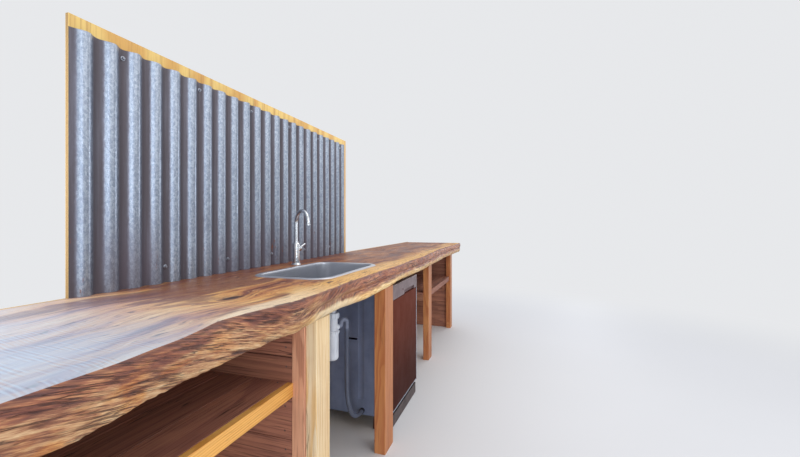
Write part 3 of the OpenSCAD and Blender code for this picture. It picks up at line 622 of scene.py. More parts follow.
# Pale, middle and dark tones of each timber, its ring spacing, its roughness and how much its cracks show
TIMBERS = {
    "pale_timber": ((232, 216, 182), (222, 188, 136), (176, 122, 70), 0.0085, 0.55, 0.5),
    # The stud's tones are the brown timber's painted lighter: painted light that stands in for fill light under the
    # slab.
    "stud_timber": ((222, 168, 136), (192, 136, 108), (128, 84, 66), 0.0070, 0.7, 0.6),
    "brown_timber": ((176, 128, 102), (148, 100, 78), (92, 58, 46), 0.0070, 0.78, 0.7),
    "orange_timber": ((198, 136, 84), (174, 106, 64), (114, 64, 48), 0.0090, 0.5, 0.3),
    "yellow_timber": ((236, 180, 98), (220, 156, 74), (172, 108, 50), 0.0070, 0.5, 0.2),
    "dark_boards": ((164, 112, 90), (142, 94, 78), (70, 44, 42), 0.0160, 0.75, 0.8),
}


@shared
def timber_finish(kind, axis, boards=None):
    """Sawn or planed timber: ring bands, fibres, knots, drying cracks, stains and hollows along its grain."""
    pale, middle, dark, spacing, gloss, wear = TIMBERS[kind]
    tree = new_finish(f"{kind}_{axis}" + ("_boards" if boards else ""))
    place = tree.place()
    shade = 1.0
    if boards:
        way, start, pitch = boards
        row = tree.effect(board_effect, Place=tree.split(place)[way] - start, Pitch=pitch)
        place = tree.vector_maths("ADD", place, row["Shift"])
        shade = row["Tone"].between(0.0, 1.0, 0.80, 1.18, "LINEAR")
    vector = tree.node("ShaderNodeMapping", Vector=place, Rotation=GRAIN_TURNS[axis],
                       Location=(0.37, 0.11, 0.07))[0]
    grain = tree.effect(timber_effect, Vector=vector, Spacing=spacing, Warp=0.05)
    fibres, cracks = grain["Fibres"], grain["Cracks"] * wear
    stains = tree.effect(grime_effect, Vector=place, Scale=3.0)["Patches"]
    base = tree.mix(grain["Rings"], pale, middle)
    base = base.tinted(middle, grain["Patches"].between(0.35, 0.7, 0.0, 0.7))
    base = base.tinted(dark, fibres.between(0.50, 0.68, 0.0, 0.3 + 0.4 * wear))
    base = base.tinted(dark, grain["Knots"] * 0.85)
    base = base.tinted(dark, stains * 0.22)
    base = base.tinted([0.5 * c for c in dark], cracks)
    return tree.surface(
        Base_Color=base.scaled(shade), Roughness=fibres.between(0.3, 0.7, gloss - 0.08, gloss + 0.1),
        Normal=tree.bump(fibres - grain["Rings"] * 0.25 - cracks * 1.7, 0.0009, 0.8), Specular_IOR_Level=0.4)


# A plywood sheet's width and one ply's thickness, in metres
PLY_SHEET = 1.2
PLY = 0.0048


@shared
def plywood_finish():
    """Rotary-peeled plywood in sheets beside each other: wide wavy bands of yellow with upright orange-brown
    streaks, a fine dark joint between sheets, and light and dark plies in turn along the edges."""
    tree = new_finish("plywood_face")
    x, y, _ = tree.split(tree.place())
    across = x + PLY_SHEET / 2
    sheet = tree.effect(board_effect, Place=across, Pitch=PLY_SHEET)
    place = tree.vector_maths("ADD", tree.place(), sheet["Shift"])
    slow = tree.noise(place, (1.5, 1.5, 0.45), 3, 0.5, (0.3, 0, 0.2))
    bands = (slow * 40.0 + x * 30.0).through("SINE")
    streaks = tree.noise(place, (34, 34, 1.6), 4, 0.62)
    fine = tree.noise(place, (240, 240, 7), 3, 0.6)
    base = tree.mix(bands.between(-1.0, 1.0), (226, 192, 112), (210, 162, 84))
    base = base.tinted((174, 114, 52), streaks.between(0.52, 0.70, 0, 0.6))
    base = base.tinted((142, 90, 44), fine.between(0.5, 0.75, 0, 0.4))
    base = base.scaled(sheet["Tone"].between(0.0, 1.0, 0.90, 1.06, "LINEAR"))
    seam = abs((across / PLY_SHEET + 0.5).through("FRACT") - 0.5).between(0.0012, 0.0004)
    base = base.tinted((70, 44, 26), seam * 0.85)
    ply = ((y - WALL_Y) / PLY).through("FRACT")
    plies = tree.mix(ply.between(0.46, 0.54), (214, 180, 116), (142, 98, 56))
    facing = abs(tree.split(tree.node("ShaderNodeTexCoord")["Normal"])[1])
    return tree.surface(
        Base_Color=plies.tinted(base, facing.between(0.4, 0.6)), Roughness=fine.between(0.3, 0.7, 0.45, 0.6),
        Normal=tree.bump(fine - seam * 2.0, 0.0005, 0.7))


# The slab

# Distance between the saw's marks on the top and on the underside, in metres
TOP_SAW_PITCH = 0.0078
UNDER_SAW_PITCH = 0.006

# How far the fibres fall for each metre along, where they are torn and where they are calm
FIBRE_FALL = 0.26
CALM_FALL = 0.02

# The end grain's pith, in front of the wall and below the slab, and the width of one of its rings, in metres
PITH_FROM_WALL = 0.16
PITH_BELOW = 0.22
END_RING = 0.0092

# How far from the wall the points of the live edge start, in metres
EDGE_FROM_WALL = 0.45


def slab_edge_rows():
    """The slab's front edge read back from its CAD mesh: section places, heights, and y at each of them."""
    mesh = NODES["bench_slab"].data
    co = np.empty(len(mesh.vertices) * 3, np.float32)
    mesh.vertices.foreach_get("co", co)
    co = np.round(co.reshape(-1, 3).astype(float), 5)
    co = co[co[:, 1] < WALL_Y - EDGE_FROM_WALL]
    # Heights and places that too few points share aren't the sections' own
    heights, seen = np.unique(co[:, 2], return_counts=True)
    heights = heights[seen > 0.5 * seen.max()][::-1]
    places, seen = np.unique(co[:, 0], return_counts=True)
    places = places[seen >= 0.8 * seen.max()]
    front = np.full((len(places), len(heights)), np.nan)
    for i, x in enumerate(places):
        section = co[co[:, 0] == x]
        for j, z in enumerate(heights):
            level = section[section[:, 2] == z]
            front[i, j] = level[:, 1].min()
    return places, heights, front


def edge_relief(along, down):
    """Height of the bark face's texture, about -1 to 1, by metres along and share of the way down: ridged
    noise laid on fibres that fall towards the right, torn by slower noise, and calmer in the sapwood."""
    depth = down * (TOP_Z - UNDER_Z)
    calm = ease((along - 0.75) / 0.5)
    fall = FIBRE_FALL * (along - 0.18 * ease((along - 0.6) / 0.6) * (along - 0.6))
    across = depth - fall * (1 - calm) - CALM_FALL * calm * along
    across = across + 0.0045 * layered_noise(along * 11, depth * 30, 3)
    ridges = 1 - 2 * np.abs(layered_noise(along * 15, across * 150, 11))
    torn = layered_noise(along * 24 + across * 40, across * 95, 71)
    lumps = layered_noise(along * 6, depth * 20 + along, 23)
    crevices = np.clip(layered_noise(along * 10, across * 70, 31) - 0.12, 0, 1)
    rough = 0.50 * ridges + 0.75 * torn + 0.65 * lumps - 2.3 * crevices
    smooth = 0.30 * ridges + 0.55 * lumps - 0.9 * crevices
    return rough * (1 - calm) + smooth * calm


@shared
def slab_top_finish(painted_sheen):
    """The sawn and oiled top. Grain lines bend round a few knots, over purple-brown and golden figure,
    with golden sapwood in front, and bleached wood with saw marks across the left end."""
    tree = new_finish("slab_top")
    along, inward = tree.attribute("along"), tree.attribute("inward")
    flat = tree.join(along, inward)
    knot = tree.cells(tree.stretched(flat, (2.1, 5.0, 1), (0.31, 0.17, 0)), 1.0)["Distance"]
    slow = tree.noise(flat, (1.6, 4.5, 1), 2) - 0.5
    quick = tree.noise(flat, (7, 22, 1)) - 0.5
    across = slow * 0.16 + inward
    wavy = quick * 0.034 + across
    grain = tree.join(along, wavy + knot.between(0.34, 0.03, 0.0, 0.028))
    figure = tree.noise(grain, (2.4, 16, 1), 6, 0.66)
    wide = tree.noise(grain, (1.5, 8.5, 1), 3, 0.55, (2.3, 0.4, 0))
    lines = tree.noise(grain, (5.0, 150, 1), 6, 0.72)
    flecks = tree.noise(grain, (14, 90, 1), 3, 0.6, (0, 5, 0))
    pores = tree.noise(grain, (26, 1100, 1), 3, 0.6)
    dashes = tree.noise(grain, (9, 52, 1), 3, 0.5, (1.7, 3.1, 0))

    heart = figure.ramp({
        0.30: (84, 48, 48), 0.38: (132, 80, 62), 0.44: (182, 120, 76),
        0.50: (210, 152, 92), 0.62: (226, 180, 112), 0.78: (238, 208, 156)})
    plum = figure.ramp({0.30: (72, 40, 36), 0.46: (124, 70, 50), 0.60: (164, 100, 62), 0.76: (198, 138, 86)})
    lilac = figure.ramp({
        0.30: (84, 60, 92), 0.43: (134, 106, 130), 0.53: (182, 146, 132), 0.68: (204, 186, 176)})
    heart = heart.tinted(plum, along.between(0.7, 1.6) * across.between(0.06, 0.16) * 0.9)
    heart = heart.tinted(lilac, along.between(0.75, 0.25, 0.0, 0.8))
    shade = along.between(0.50, 0.75) * along.between(1.6, 1.25) * across.between(0.20, 0.32) * 0.13 + wide
    heart = heart.tinted(tree.mix(figure, (84, 48, 54), (134, 84, 66)), shade.between(0.55, 0.61, 0, 0.8))
    sap = lines.ramp({0.3: (236, 198, 128), 0.5: (224, 172, 98), 0.7: (178, 112, 58)})
    sap = sap.tinted((240, 226, 200), along.between(1.15, 0.7, 0.0, 0.6))
    width = along.between(0.35, 1.0, -0.02, 0.085) - along.between(1.7, 3.0, 0.0, 0.055)
    base = heart.tinted(sap, (wavy - width).between(0.02, -0.012))

    base = base.tinted((92, 52, 42), lines.between(0.52, 0.66, 0.0, 0.55))
    base = base.tinted((82, 46, 36), pores.between(0.56, 0.66, 0.0, 0.55))
    base = base.tinted((70, 36, 36), flecks.between(0.62, 0.70, 0.0, 0.75))
    base = base.tinted((236, 198, 144), flecks.between(0.38, 0.30, 0.0, 0.5))
    rings = (quick * 14.0 + knot * 95.0).through("SINE")
    base = base.tinted((88, 44, 44), knot.between(0.26, 0.10) * rings.between(-0.2, 0.8, 0.1, 0.6))
    base = base.tinted((44, 24, 26), knot.between(0.10, 0.05, 0, 0.95))
    dashes = dashes.between(0.64, 0.68) * wide.between(0.44, 0.50) * along.between(2.2, 1.4, 0.3, 0.85)
    base = base.tinted((74, 42, 44), dashes)

    # At the left end the colour is paled towards the sheen colour, in patches and along the saw marks: a painted sheen
    # of window light, with painted glints on the saw marks.
    left = along.between(0.85, 0.2)
    ripple = (slow * 26.0 + (along - inward * 0.13) * (2 * math.pi / TOP_SAW_PITCH)).through("SINE")
    ripple = ripple * left * tree.noise(flat, (60, 12, 1), 2).between(0.42, 0.60)
    painted_sheen_mask = ripple * 0.15 + left * wide.between(0.40, 0.60, 0.74, 0.50)
    base = base.tinted(painted_sheen, painted_sheen_mask).scaled(along.between(1.4, 2.6, 1.0, 0.86))
    gloss = tree.effect(smudge_effect, Vector=tree.place(), Scale=5.0)["Gloss"]
    return tree.surface(
        Base_Color=base, Roughness=gloss.between(0.3, 0.7, 0.34, 0.50),
        Normal=tree.bump(ripple * 0.25 + lines - pores * 0.35, 0.0008, 0.7),
        Coat_Weight=0.03, Coat_Roughness=0.3, Specular_IOR_Level=0.12)


@shared
def slab_edge_finish():
    """The live edge: a purple-brown rounded skin above, torn tan fibres with dark crevices below it, orange
    burl near the left end, and smooth sapwood on the lower lip."""
    tree = new_finish("slab_edge")
    along, down = tree.attribute("along"), tree.attribute("down")
    relief, lip = tree.attribute("relief"), tree.attribute("lip")
    depth = down * (TOP_Z - UNDER_Z)
    fall = along * (along.between(0.75, 1.25) * (CALM_FALL - FIBRE_FALL) + FIBRE_FALL)
    flat, upright = tree.join(along, depth - fall), tree.join(along, depth)
    streaks = tree.noise(flat, (14, 150, 1), 6, 0.68, distortion=0.6)
    fine = tree.noise(flat, (50, 640, 1), 3, 0.6)
    patches = tree.noise(upright, (6, 20, 1), 4, 0.62)
    burl = tree.noise(upright, (9, 16, 1), 3, 0.5, (0.4, 0, 0))
    # The relief's height lightens the raised fibres: a painted highlight.
    light = (fine - 0.5) * 0.55 + streaks + (patches - 0.5) * 0.42 + relief * 0.16

    fibre = light.ramp({
        0.24: (74, 44, 38), 0.38: (122, 76, 56), 0.48: (156, 106, 76),
        0.60: (186, 140, 100), 0.78: (212, 178, 136)})
    burl_tone = light.ramp({0.28: (100, 52, 34), 0.46: (164, 94, 48), 0.66: (206, 144, 78)})
    orange = burl.between(0.48, 0.62) * along.between(0.75, 0.35, 0.25, 0.9)
    fibre = fibre.tinted(burl_tone, orange)
    skin_brown = light.ramp({
        0.24: (78, 42, 38), 0.44: (118, 68, 54), 0.60: (152, 94, 66), 0.76: (188, 134, 92)})
    skin_red = light.ramp({
        0.28: (84, 44, 38), 0.42: (134, 76, 56), 0.56: (170, 104, 72), 0.72: (208, 150, 104)})
    skin_tone = skin_brown.tinted(skin_red, along.between(0.7, 1.25)).tinted(fibre, orange * 0.6)
    skin = (patches - 0.5) * 0.5 + down
    right_skin = along.between(0.95, 1.5) * skin.between(0.66, 0.56)
    base = fibre.tinted(skin_tone, skin.between(0.37, 0.27).through("MAXIMUM", right_skin))
    sap = light.ramp({
        0.28: (158, 98, 52), 0.42: (210, 156, 84), 0.58: (234, 198, 130), 0.76: (238, 224, 182)})
    base = base.tinted(sap, lip)
    cream = along.between(0.86, 0.96) * along.between(1.26, 1.12) * skin.between(0.60, 0.68) * 0.8
    base = base.tinted(tree.mix(light, (206, 164, 106), (246, 238, 208)), cream)

    crack = abs(tree.noise(flat, (7, 120, 1), 3, 0.55, distortion=0.15) - 0.46).between(0.035, 0.008)
    crack = crack * patches.between(0.38, 0.52) * (1.0 - lip * 0.75)
    base = base.tinted((56, 32, 30), crack * 0.75)
    # The relief's deep hollows are darkened: painted shade.
    base = base.tinted((56, 32, 30), relief.between(-0.3, -1.2, 0.0, 0.85))
    base = base.tinted((74, 38, 36), down.between(0.0, 0.03) * down.between(0.10, 0.05) * 0.45)
    return tree.surface(
        Base_Color=base, Roughness=streaks.between(0.3, 0.7, 0.42, 0.66),
        Normal=tree.bump(fine * 0.35 + streaks - crack * 0.9, 0.0022, 1.0),
        Coat_Weight=0.06, Coat_Roughness=0.3)


@shared
def slab_sawn_finish():
    """Rough sawn underside and back: saw marks across dull brown grain."""
    tree = new_finish("slab_sawn")
    place = tree.stretched(tree.place(), (1, 1, 1), (0, 0.4, 0.6))
    grain = tree.effect(timber_effect, Vector=place, Spacing=0.009, Warp=0.09)
    base = tree.mix(grain["Rings"], (176, 126, 92), (128, 82, 60))
    base = base.tinted((84, 50, 38), grain["Fibres"].between(0.5, 0.75, 0, 0.5))
    saw = (tree.split(place)[0] * (2 * math.pi / UNDER_SAW_PITCH)).through("SINE")
    return tree.surface(
        Base_Color=base, Roughness=0.8, Normal=tree.bump(saw * 0.2 + grain["Fibres"], 0.001, 0.8))


@shared
def slab_end_finish():
    """End grain: growth rings about a pith under the slab, fine pores, checks that run from the pith, and
    pale sapwood beside the live edge."""
    tree = new_finish("slab_end")
    place = tree.place()
    _, y, z = tree.split(place)
    y = y - (WALL_Y - PITH_FROM_WALL)
    z = z - (UNDER_Z - PITH_BELOW)
    radius = (y * y + z * z).through("SQRT")
    late = ((tree.noise(place, 6.0, 2) * 0.05 + radius) / END_RING).through("FRACT").between(0.3, 0.95)
    checks = tree.noise(tree.join(z.through("ARCTAN2", y) * 26.0, radius * 5.0), 1.0, 2).between(0.70, 0.74)
    pores = tree.noise(place, 900.0, 1)
    base = tree.mix(late, (170, 122, 88), (138, 92, 66))
    base = base.tinted(tree.mix(late, (216, 172, 112), (196, 148, 92)), radius.between(0.50, 0.53))
    base = base.tinted((112, 64, 50), radius.between(0.22, 0.14, 0, 0.7))
    base = base.tinted((80, 48, 38), pores.between(0.6, 0.75, 0, 0.35))
    base = base.tinted((40, 24, 22), checks)
    return tree.surface(
        Base_Color=base, Roughness=0.7, Normal=tree.bump(pores * 0.3 - checks * 2.0, 0.0008, 0.8))


# Step counts over the slab's length and round its section
SLAB_STATIONS = 860
TOP_COLUMNS = 12
ARRIS_COLUMNS = 6
FACE_COLUMNS = 58
UNDER_COLUMNS = 8

# Shares of the way down the edge: where the lip starts, over what it fades in, and over what the relief fades
# in below the top and out above the foot
LIP_START, LIP_FADE = 0.60, 0.12
SKIN_FADE, FOOT_FADE = 0.14, 0.06

# Width of the sink's rim on the slab, radius of its hole's corners, half the tap hole's width, and half the
# straight part of the tap hole's sides, in metres
SINK_RIM = 0.026
SINK_CORNER = 0.06
TAP_HOLE = 0.0175
TAP_STRAIGHT = 0.0001

# Sides of a hole's outline, and how far its cutter reaches past the slab, in metres
HOLE_SIDES = 64
HOLE_PAST = 0.02


def slab_section(front, heights):
    """Every section's ring of (y, z): the top from the wall to the arris, a smooth curve through the CAD
    edge's points down the face, then the underside back to the wall."""
    count = len(front)
    arris_share = 2 * np.linspace(0, 1, ARRIS_COLUMNS, endpoint=False)
    face_share = np.linspace(2, len(heights) - 1, FACE_COLUMNS)
    steps = np.concatenate([arris_share, face_share])
    levels = np.arange(len(heights), dtype=float)
    z = resample(levels, heights[:, None], steps)[:, 0]
    y = resample(levels, front.T, steps).T
    top = np.linspace(0, 1, TOP_COLUMNS, endpoint=False)
    top_y = WALL_Y + (y[:, :1] - WALL_Y) * top
    under = np.linspace(0, 1, UNDER_COLUMNS + 1)[1:]
    under_y = y[:, -1:] + (WALL_Y - y[:, -1:]) * under
    ring_y = np.concatenate([top_y, y, under_y], 1)
    ring_z = np.concatenate([np.full(TOP_COLUMNS, heights[0]), z, np.full(UNDER_COLUMNS, heights[-1])])
    return ring_y, np.broadcast_to(ring_z, (count, len(ring_z)))


def settings_keys(text):
    """Keys written as place:value pairs, as numbers."""
    return [tuple(float(n) for n in pair.split(":")) for pair in text.split()]


def slab_mesh(settings):
    """The slab as one closed grid: smooth CAD sections, with the bark's relief raised along its normals.
    Gives its points and, at each of them, the numbers that its materials read."""
    places, heights, front = slab_edge_rows()
    x = np.linspace(places[0], places[-1], SLAB_STATIONS)
    ring_y, ring_z = slab_section(resample(places, front, x), heights)
    points = np.stack([np.broadcast_to(x[:, None], ring_y.shape), ring_y, ring_z], -1)
    along = points[..., 0] - LEFT_END
    face = slice(TOP_COLUMNS, TOP_COLUMNS + ARRIS_COLUMNS + FACE_COLUMNS)
    down = np.zeros(along.shape)
    down[:, face] = (TOP_Z - ring_z[:, face]) / (TOP_Z - UNDER_Z)
    lip_full = along_keys(settings_keys(settings.lip_keys), along)
    lip_band = ease((down - LIP_START) / LIP_FADE) * (down > 0)
    rough = (1 - 0.7 * lip_full * lip_band) * ease(down / SKIN_FADE) * ease((1 - down) / FOOT_FADE)
    relief = edge_relief(along, down) * rough
    normal = np.cross(np.gradient(points, axis=1), np.gradient(points, axis=0))
    normal /= np.linalg.norm(normal, axis=-1, keepdims=True) + 1e-12
    points = points + normal * (relief * settings.relief)[..., None]
    arris = ring_y[:, TOP_COLUMNS : TOP_COLUMNS + 1]
    return points, along, down, relief, lip_full * lip_band, np.maximum(ring_y - arris, 0)


def cut_with(piece, cutters):
    """Cuts closed solids out of a piece, and removes them."""
    for cutter in cutters:
        tool = piece.modifiers.new("cut", "BOOLEAN")
        tool.operation = "DIFFERENCE"
        tool.solver = "EXACT"
        tool.object = cutter
        bpy.context.view_layer.objects.active = piece
        bpy.ops.object.modifier_apply(modifier=tool.name)
    for cutter in cutters:
        bpy.data.objects.remove(cutter, do_unlink=True)


def round_hole(centre, half, radius, finish):
    """A closed upright prism through the slab: a rectangle with round corners, as its cutter."""
    way = circle(HOLE_SIDES, np.pi / HOLE_SIDES)
    outline = np.sign(way) * (np.array(half) - radius) + radius * way + np.array(centre)
    levels = (UNDER_Z - HOLE_PAST, TOP_Z + HOLE_PAST)
    rings = np.stack([np.column_stack([outline, np.full(HOLE_SIDES, z)]) for z in levels])
    cutter = mesh_object("cutter", *tube_mesh(rings), smooth=False)
    cutter.data.materials.append(finish)
    return cutter


class SlabSettings(bpy.types.PropertyGroup):
    """Sizes of the slab's live edge and the colour of its bleached end."""

    relief: bpy.props.FloatProperty(
        name="Relief", description="Height of the torn fibres on the bark face",
        default=0.0032, min=0, max=0.006, unit="LENGTH")
    sink_gap: bpy.props.FloatProperty(
        name="Sink gap", description="Clearance between the bowl and its hole", default=0.004, unit="LENGTH")
    lip_keys: bpy.props.StringProperty(
        name="Sapwood lip", description="How full the pale lip is: place:value pairs along the slab",
        default="0:0.08 0.7:0.12 0.92:0.75 1.1:1 1.7:0.95 2.1:0.75 2.6:0.55 4:0.4")
    # Colour of the painted sheen of window light on the left end
    painted_sheen: colour_setting("Painted sheen", "Colour of the painted sheen of window light on the left end", 184, 201, 214)


class BENCH_OT_slab(bpy.types.Operator):
    """Makes the live-edge slab with its sink and tap holes"""

    bl_idname = "bench.slab"
    bl_label = "Slab"

    def execute(self, context):
        settings = context.scene.bench_slab
        points, along, down, relief, lip, inward = slab_mesh(settings)
        corner_points, quads, triangles = tube_mesh(points)
        piece = mesh_object("live_edge_slab", corner_points, quads, triangles)
        ends = np.zeros(2)
        carried = {"along": along, "down": down, "relief": relief, "lip": lip, "inward": inward}
        for name, values in carried.items():
            set_attribute(piece, name, np.concatenate([values.ravel(), ends]))
        # Material by column: 0 on the top, 1 on the live edge, 2 underneath and behind, and 3 on the ends
        columns = points.shape[1]
        column = np.tile(np.arange(columns), SLAB_STATIONS - 1)
        zone = np.full(columns, 2)
        zone[: TOP_COLUMNS + 1] = 0
        zone[TOP_COLUMNS + 1 : TOP_COLUMNS + ARRIS_COLUMNS + FACE_COLUMNS - 1] = 1
        slots = np.concatenate([zone[column], np.full(len(triangles), 3)]).astype(np.int32)
        give(piece, "bench", "slab", slab_top_finish((*settings.painted_sheen, 1)), slab_edge_finish(),
             slab_sawn_finish(), slab_end_finish())
        piece.data.polygons.foreach_set("material_index", slots)
        low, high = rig.box("sink_bowl")
        inset = SINK_RIM - settings.sink_gap
        half = ((high.x - low.x) / 2 - inset, (high.y - low.y) / 2 - inset)
        cut_with(piece, [round_hole(middle_of("sink_bowl"), half, SINK_CORNER, slab_sawn_finish()),
                         round_hole(middle_of("tap_backnut"), (TAP_HOLE, TAP_HOLE), TAP_HOLE - TAP_STRAIGHT,
                                    slab_sawn_finish())])
        piece.data.set_sharp_from_angle(angle=math.radians(50))
        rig.replaces(piece, "bench_slab")
        return {"FINISHED"}


# The corrugated iron


class IronSettings(bpy.types.PropertyGroup):
    """Sizes of the corrugated splashback and the colour of its dirt."""

    pitch: bpy.props.FloatProperty(
        name="Pitch", description="Distance from crest to crest", default=0.0762, unit="LENGTH")
    depth: bpy.props.FloatProperty(
        name="Depth", description="Depth of the corrugations", default=0.017, unit="LENGTH")
    thickness: bpy.props.FloatProperty(
        name="Thickness", description="Thickness of the iron", default=0.0006, unit="LENGTH")
    dents: bpy.props.FloatProperty(
        name="Dents", description="Depth of the slow dents in the sheets", default=0.0005, unit="LENGTH")
    dirt_and_shade: colour_setting("Dirt and shade", "Colour of the dirt and painted shade in the valleys", 78, 71, 77)


@shared
def iron_finish(dirt_and_shade_colour):
    """Weathered galvanised iron: smooth bright crests with a faint spangle, dull brown dirt in the valleys,
    dust low down and a few rust runs near the bench."""
    tree = new_finish("galvanised_iron")
    place, valley = tree.place(), tree.attribute("valley")
    spangle = tree.effect(spangle_effect, Vector=tree.stretched(place, (1, 1, 0.6)), Size=0.0055)["Shade"]
    runs = tree.noise(place, (55, 55, 2.5), 4, 0.6)
    cloud = tree.noise(place, (5, 5, 3))
    mottle = tree.noise(place, (150, 150, 70), 3, 0.6) - 0.5
    low = tree.split(place)[2].between(TOP_Z + 0.34, TOP_Z + 0.02)
    # Dull brown in the valleys, in streaky runs: partly real dirt and partly painted shade.
    dirt_and_shade = (mottle * 0.5 + valley).between(0.3, 1.0) * runs.between(0.30, 0.60, 0.55, 1.0)
    dust = low * cloud.between(0.38, 0.62)
    rust = (low * 0.10 + tree.noise(place, (30, 30, 7), 5, 0.7)).between(0.71, 0.80)
    base = spangle.ramp({0.15: (128, 138, 154), 0.5: (145, 154, 169), 0.85: (164, 174, 188)})
    # Flanks and valleys are painted a darker grey than the crests: painted shade, which leaves the crests as painted
    # highlight stripes.
    base = base.tinted((105, 104, 115), (mottle * 0.6 + valley).between(0.0, 0.5, 0.0, 0.85))
    base = base.tinted(dirt_and_shade_colour, dirt_and_shade * 0.9)
    base = base.tinted((94, 86, 98), dust * 0.5)
    base = base.tinted(tree.mix(tree.noise(place, 180.0, 2), (156, 86, 50), (98, 54, 40)), rust)
    dull = rust.through("MAXIMUM", (dust * 0.4).through("MAXIMUM", dirt_and_shade))
    return tree.surface(
        Base_Color=base, Metallic=dull * -0.5 + 0.9, Roughness=dull * 0.22 + (spangle * 0.08 + 0.30),
        Normal=tree.bump(spangle * 0.10 + runs * 0.4, 0.00006, 0.5))


def wave(x, depth, pitch):
    """How far the iron stands off the wall: half a cosine's swing, 0 in a valley and depth on a crest."""
    return depth * (1 - np.cos(2 * np.pi * x / pitch)) / 2


# Steps over one corrugation and over a sheet's height
WAVE_STEPS = 22
SHEET_ROWS = 44

# How uneven a sheet's top edge is, how far down that goes, and the gap between lapped sheets, in metres
RAGGED, RAGGED_BAND = 0.0012, 0.03
LAP_GAP = 0.0004

# Share of the iron's depth at which the valleys' dirt and painted shade end, and over what share they fade in below
# that
DIRT_AND_SHADE_END, DIRT_AND_SHADE_FADE = 0.62, 0.5


def iron_sheet(name, start, end, lift, settings, seed):
    """One sheet as a closed shell: front and back follow the wave, with slow dents over them."""
    columns = int(round((end - start) / settings.pitch * WAVE_STEPS))
    low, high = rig.box("splash_sheet_left")
    x = np.linspace(start, end, columns)
    z = np.linspace(low.z, high.z, SHEET_ROWS)
    gx, gz = np.meshgrid(x, z)
    dents = settings.dents * (layered_noise(gx * 9, gz * 2.3, seed) + 1)
    top_band = ease((gz - high.z + RAGGED_BAND) / RAGGED_BAND)
    ragged = RAGGED * value_noise(gx * 40, gz * 0 + seed, seed + 5) * top_band
    off = wave(gx, settings.depth, settings.pitch) + lift + dents
    front = np.stack([low.x + gx, WALL_Y - off - settings.thickness, gz + ragged], -1)
    back = np.stack([low.x + gx, WALL_Y - off, gz + ragged], -1)
    ring = np.concatenate([front, back[:, ::-1]], 1)
    points, quads, _ = tube_mesh(ring, closed_ends=False)
    c = np.arange(columns - 1)
    last = (SHEET_ROWS - 1) * 2 * columns
    bottom = np.stack([c, 2 * columns - 1 - c, 2 * columns - 2 - c, c + 1], -1)
    top = np.stack([c, c + 1, 2 * columns - 2 - c, 2 * columns - 1 - c], -1) + last
    piece = mesh_object(name, points, np.concatenate([quads, bottom, top]))
    crest = (off - lift) / settings.depth
    valley = ease((DIRT_AND_SHADE_END - crest) / DIRT_AND_SHADE_FADE)
    set_attribute(piece, "valley", np.concatenate([valley, valley[:, ::-1]], 1))
    return piece


# Whole corrugations that one sheet covers before the next laps over it
COVER = 10


class BENCH_OT_splashback(bpy.types.Operator):
    """Makes the corrugated iron sheets, lapped by one corrugation"""

    bl_idname = "bench.splashback"
    bl_label = "Splashback"

    def execute(self, context):
        settings = context.scene.bench_iron
        left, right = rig.box("splash_sheet_left"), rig.box("splash_sheet_right")
        width = right[1].x - left[0].x
        cover = COVER * settings.pitch
        spans = [(0, cover + settings.pitch), (cover, 2 * cover + settings.pitch), (2 * cover, width)]
        lap = settings.thickness + LAP_GAP
        made = [
            iron_sheet(f"iron_sheet_{i + 1}", start, end, (i % 2) * lap, settings, 40 + i)
            for i, (start, end) in enumerate(spans)
        ]
        for piece in made:
            give(piece, "bench", "galvanised_iron", iron_finish((*settings.dirt_and_shade, 1)))
            piece.data.set_sharp_from_angle(angle=math.radians(60))
        for piece, side in zip(made, ("left", "middle", "right")):
            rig.replaces(piece, f"splash_sheet_{side}")
        return {"FINISHED"}


# Screws, nails and small fittings


def closed_sweep(path, outward, forward, profile):
    """A closed band: at every point of a ring-shaped path, the profile's (out, forward) corners laid along
    that point's outward direction and one forward direction."""
    profile = np.asarray(profile, float)
    points = (path[:, None, :] + outward[:, None, :] * profile[None, :, :1]
              + np.asarray(forward, float) * profile[None, :, 1:])
    rows, columns = points.shape[:2]
    quads = grid_faces(rows + 1, columns) % (rows * columns)
    return points.reshape(-1, 3), quads, np.zeros((0, 3), int)


def round_frame(centre, half, radius, steps=9):
    """A rectangle with round corners in the X-Z plane: its points and, at each of them, the way outward."""
    angle = np.concatenate([np.linspace(k, k + 1, steps) for k in range(4)]) * np.pi / 2
    way = np.stack([np.cos(angle), 0 * angle, np.sin(angle)], -1)
    corner = np.repeat([[1, 0, 1], [-1, 0, 1], [-1, 0, -1], [1, 0, -1]], steps, 0)
    straight = np.array(half) - radius * np.array([1, 0, 1])
    return np.array(centre) + corner * straight + radius * way, way


class FixingSettings(bpy.types.PropertyGroup):
    """Places and sizes of screws and nails."""

    every: bpy.props.IntProperty(
        name="Screw spacing", description="Valleys from one roofing screw to the next", default=4, min=1)
    row_heights: bpy.props.FloatVectorProperty(
        name="Screw rows", description="Heights of the lower and upper row of roofing screws", size=2,
        default=(0.943, 1.634), unit="LENGTH")
    nail_radius: bpy.props.FloatProperty(
        name="Nail head", description="Radius of a nail's head", default=0.0030, unit="LENGTH")
    nail_pair: bpy.props.FloatProperty(
        name="Nail pair", description="Half the distance between a board's two nails",
        default=0.036, unit="LENGTH")


# Boards in a partition and in a shelf, the gap between shelf boards, the middle of a partition's lowest board
# and the pitch of its boards, in metres
PARTITION_BOARDS = 6
SHELF_BOARDS = 4
SHELF_GAP = 0.002
BOARD_MIDDLE = 0.0657
BOARD_PITCH = 0.1334

# Y of the nails in each partition's front batten and in the battens at the wall
FRONT_NAILS = {"left_end_boards": -0.2317, "divider_boards": -0.1857, "right_end_boards": -0.1397}
WALL_NAILS = 0.2953

# X of the nails over the two cleats or bearers of each shelf
SHELF_NAILS = {"left_shelf_boards": (-1.922, -1.076), "right_shelf_boards": (0.8425, 1.8015)}

# How far a nail strays from its place at most, in metres
NAIL_SWAY = 0.004

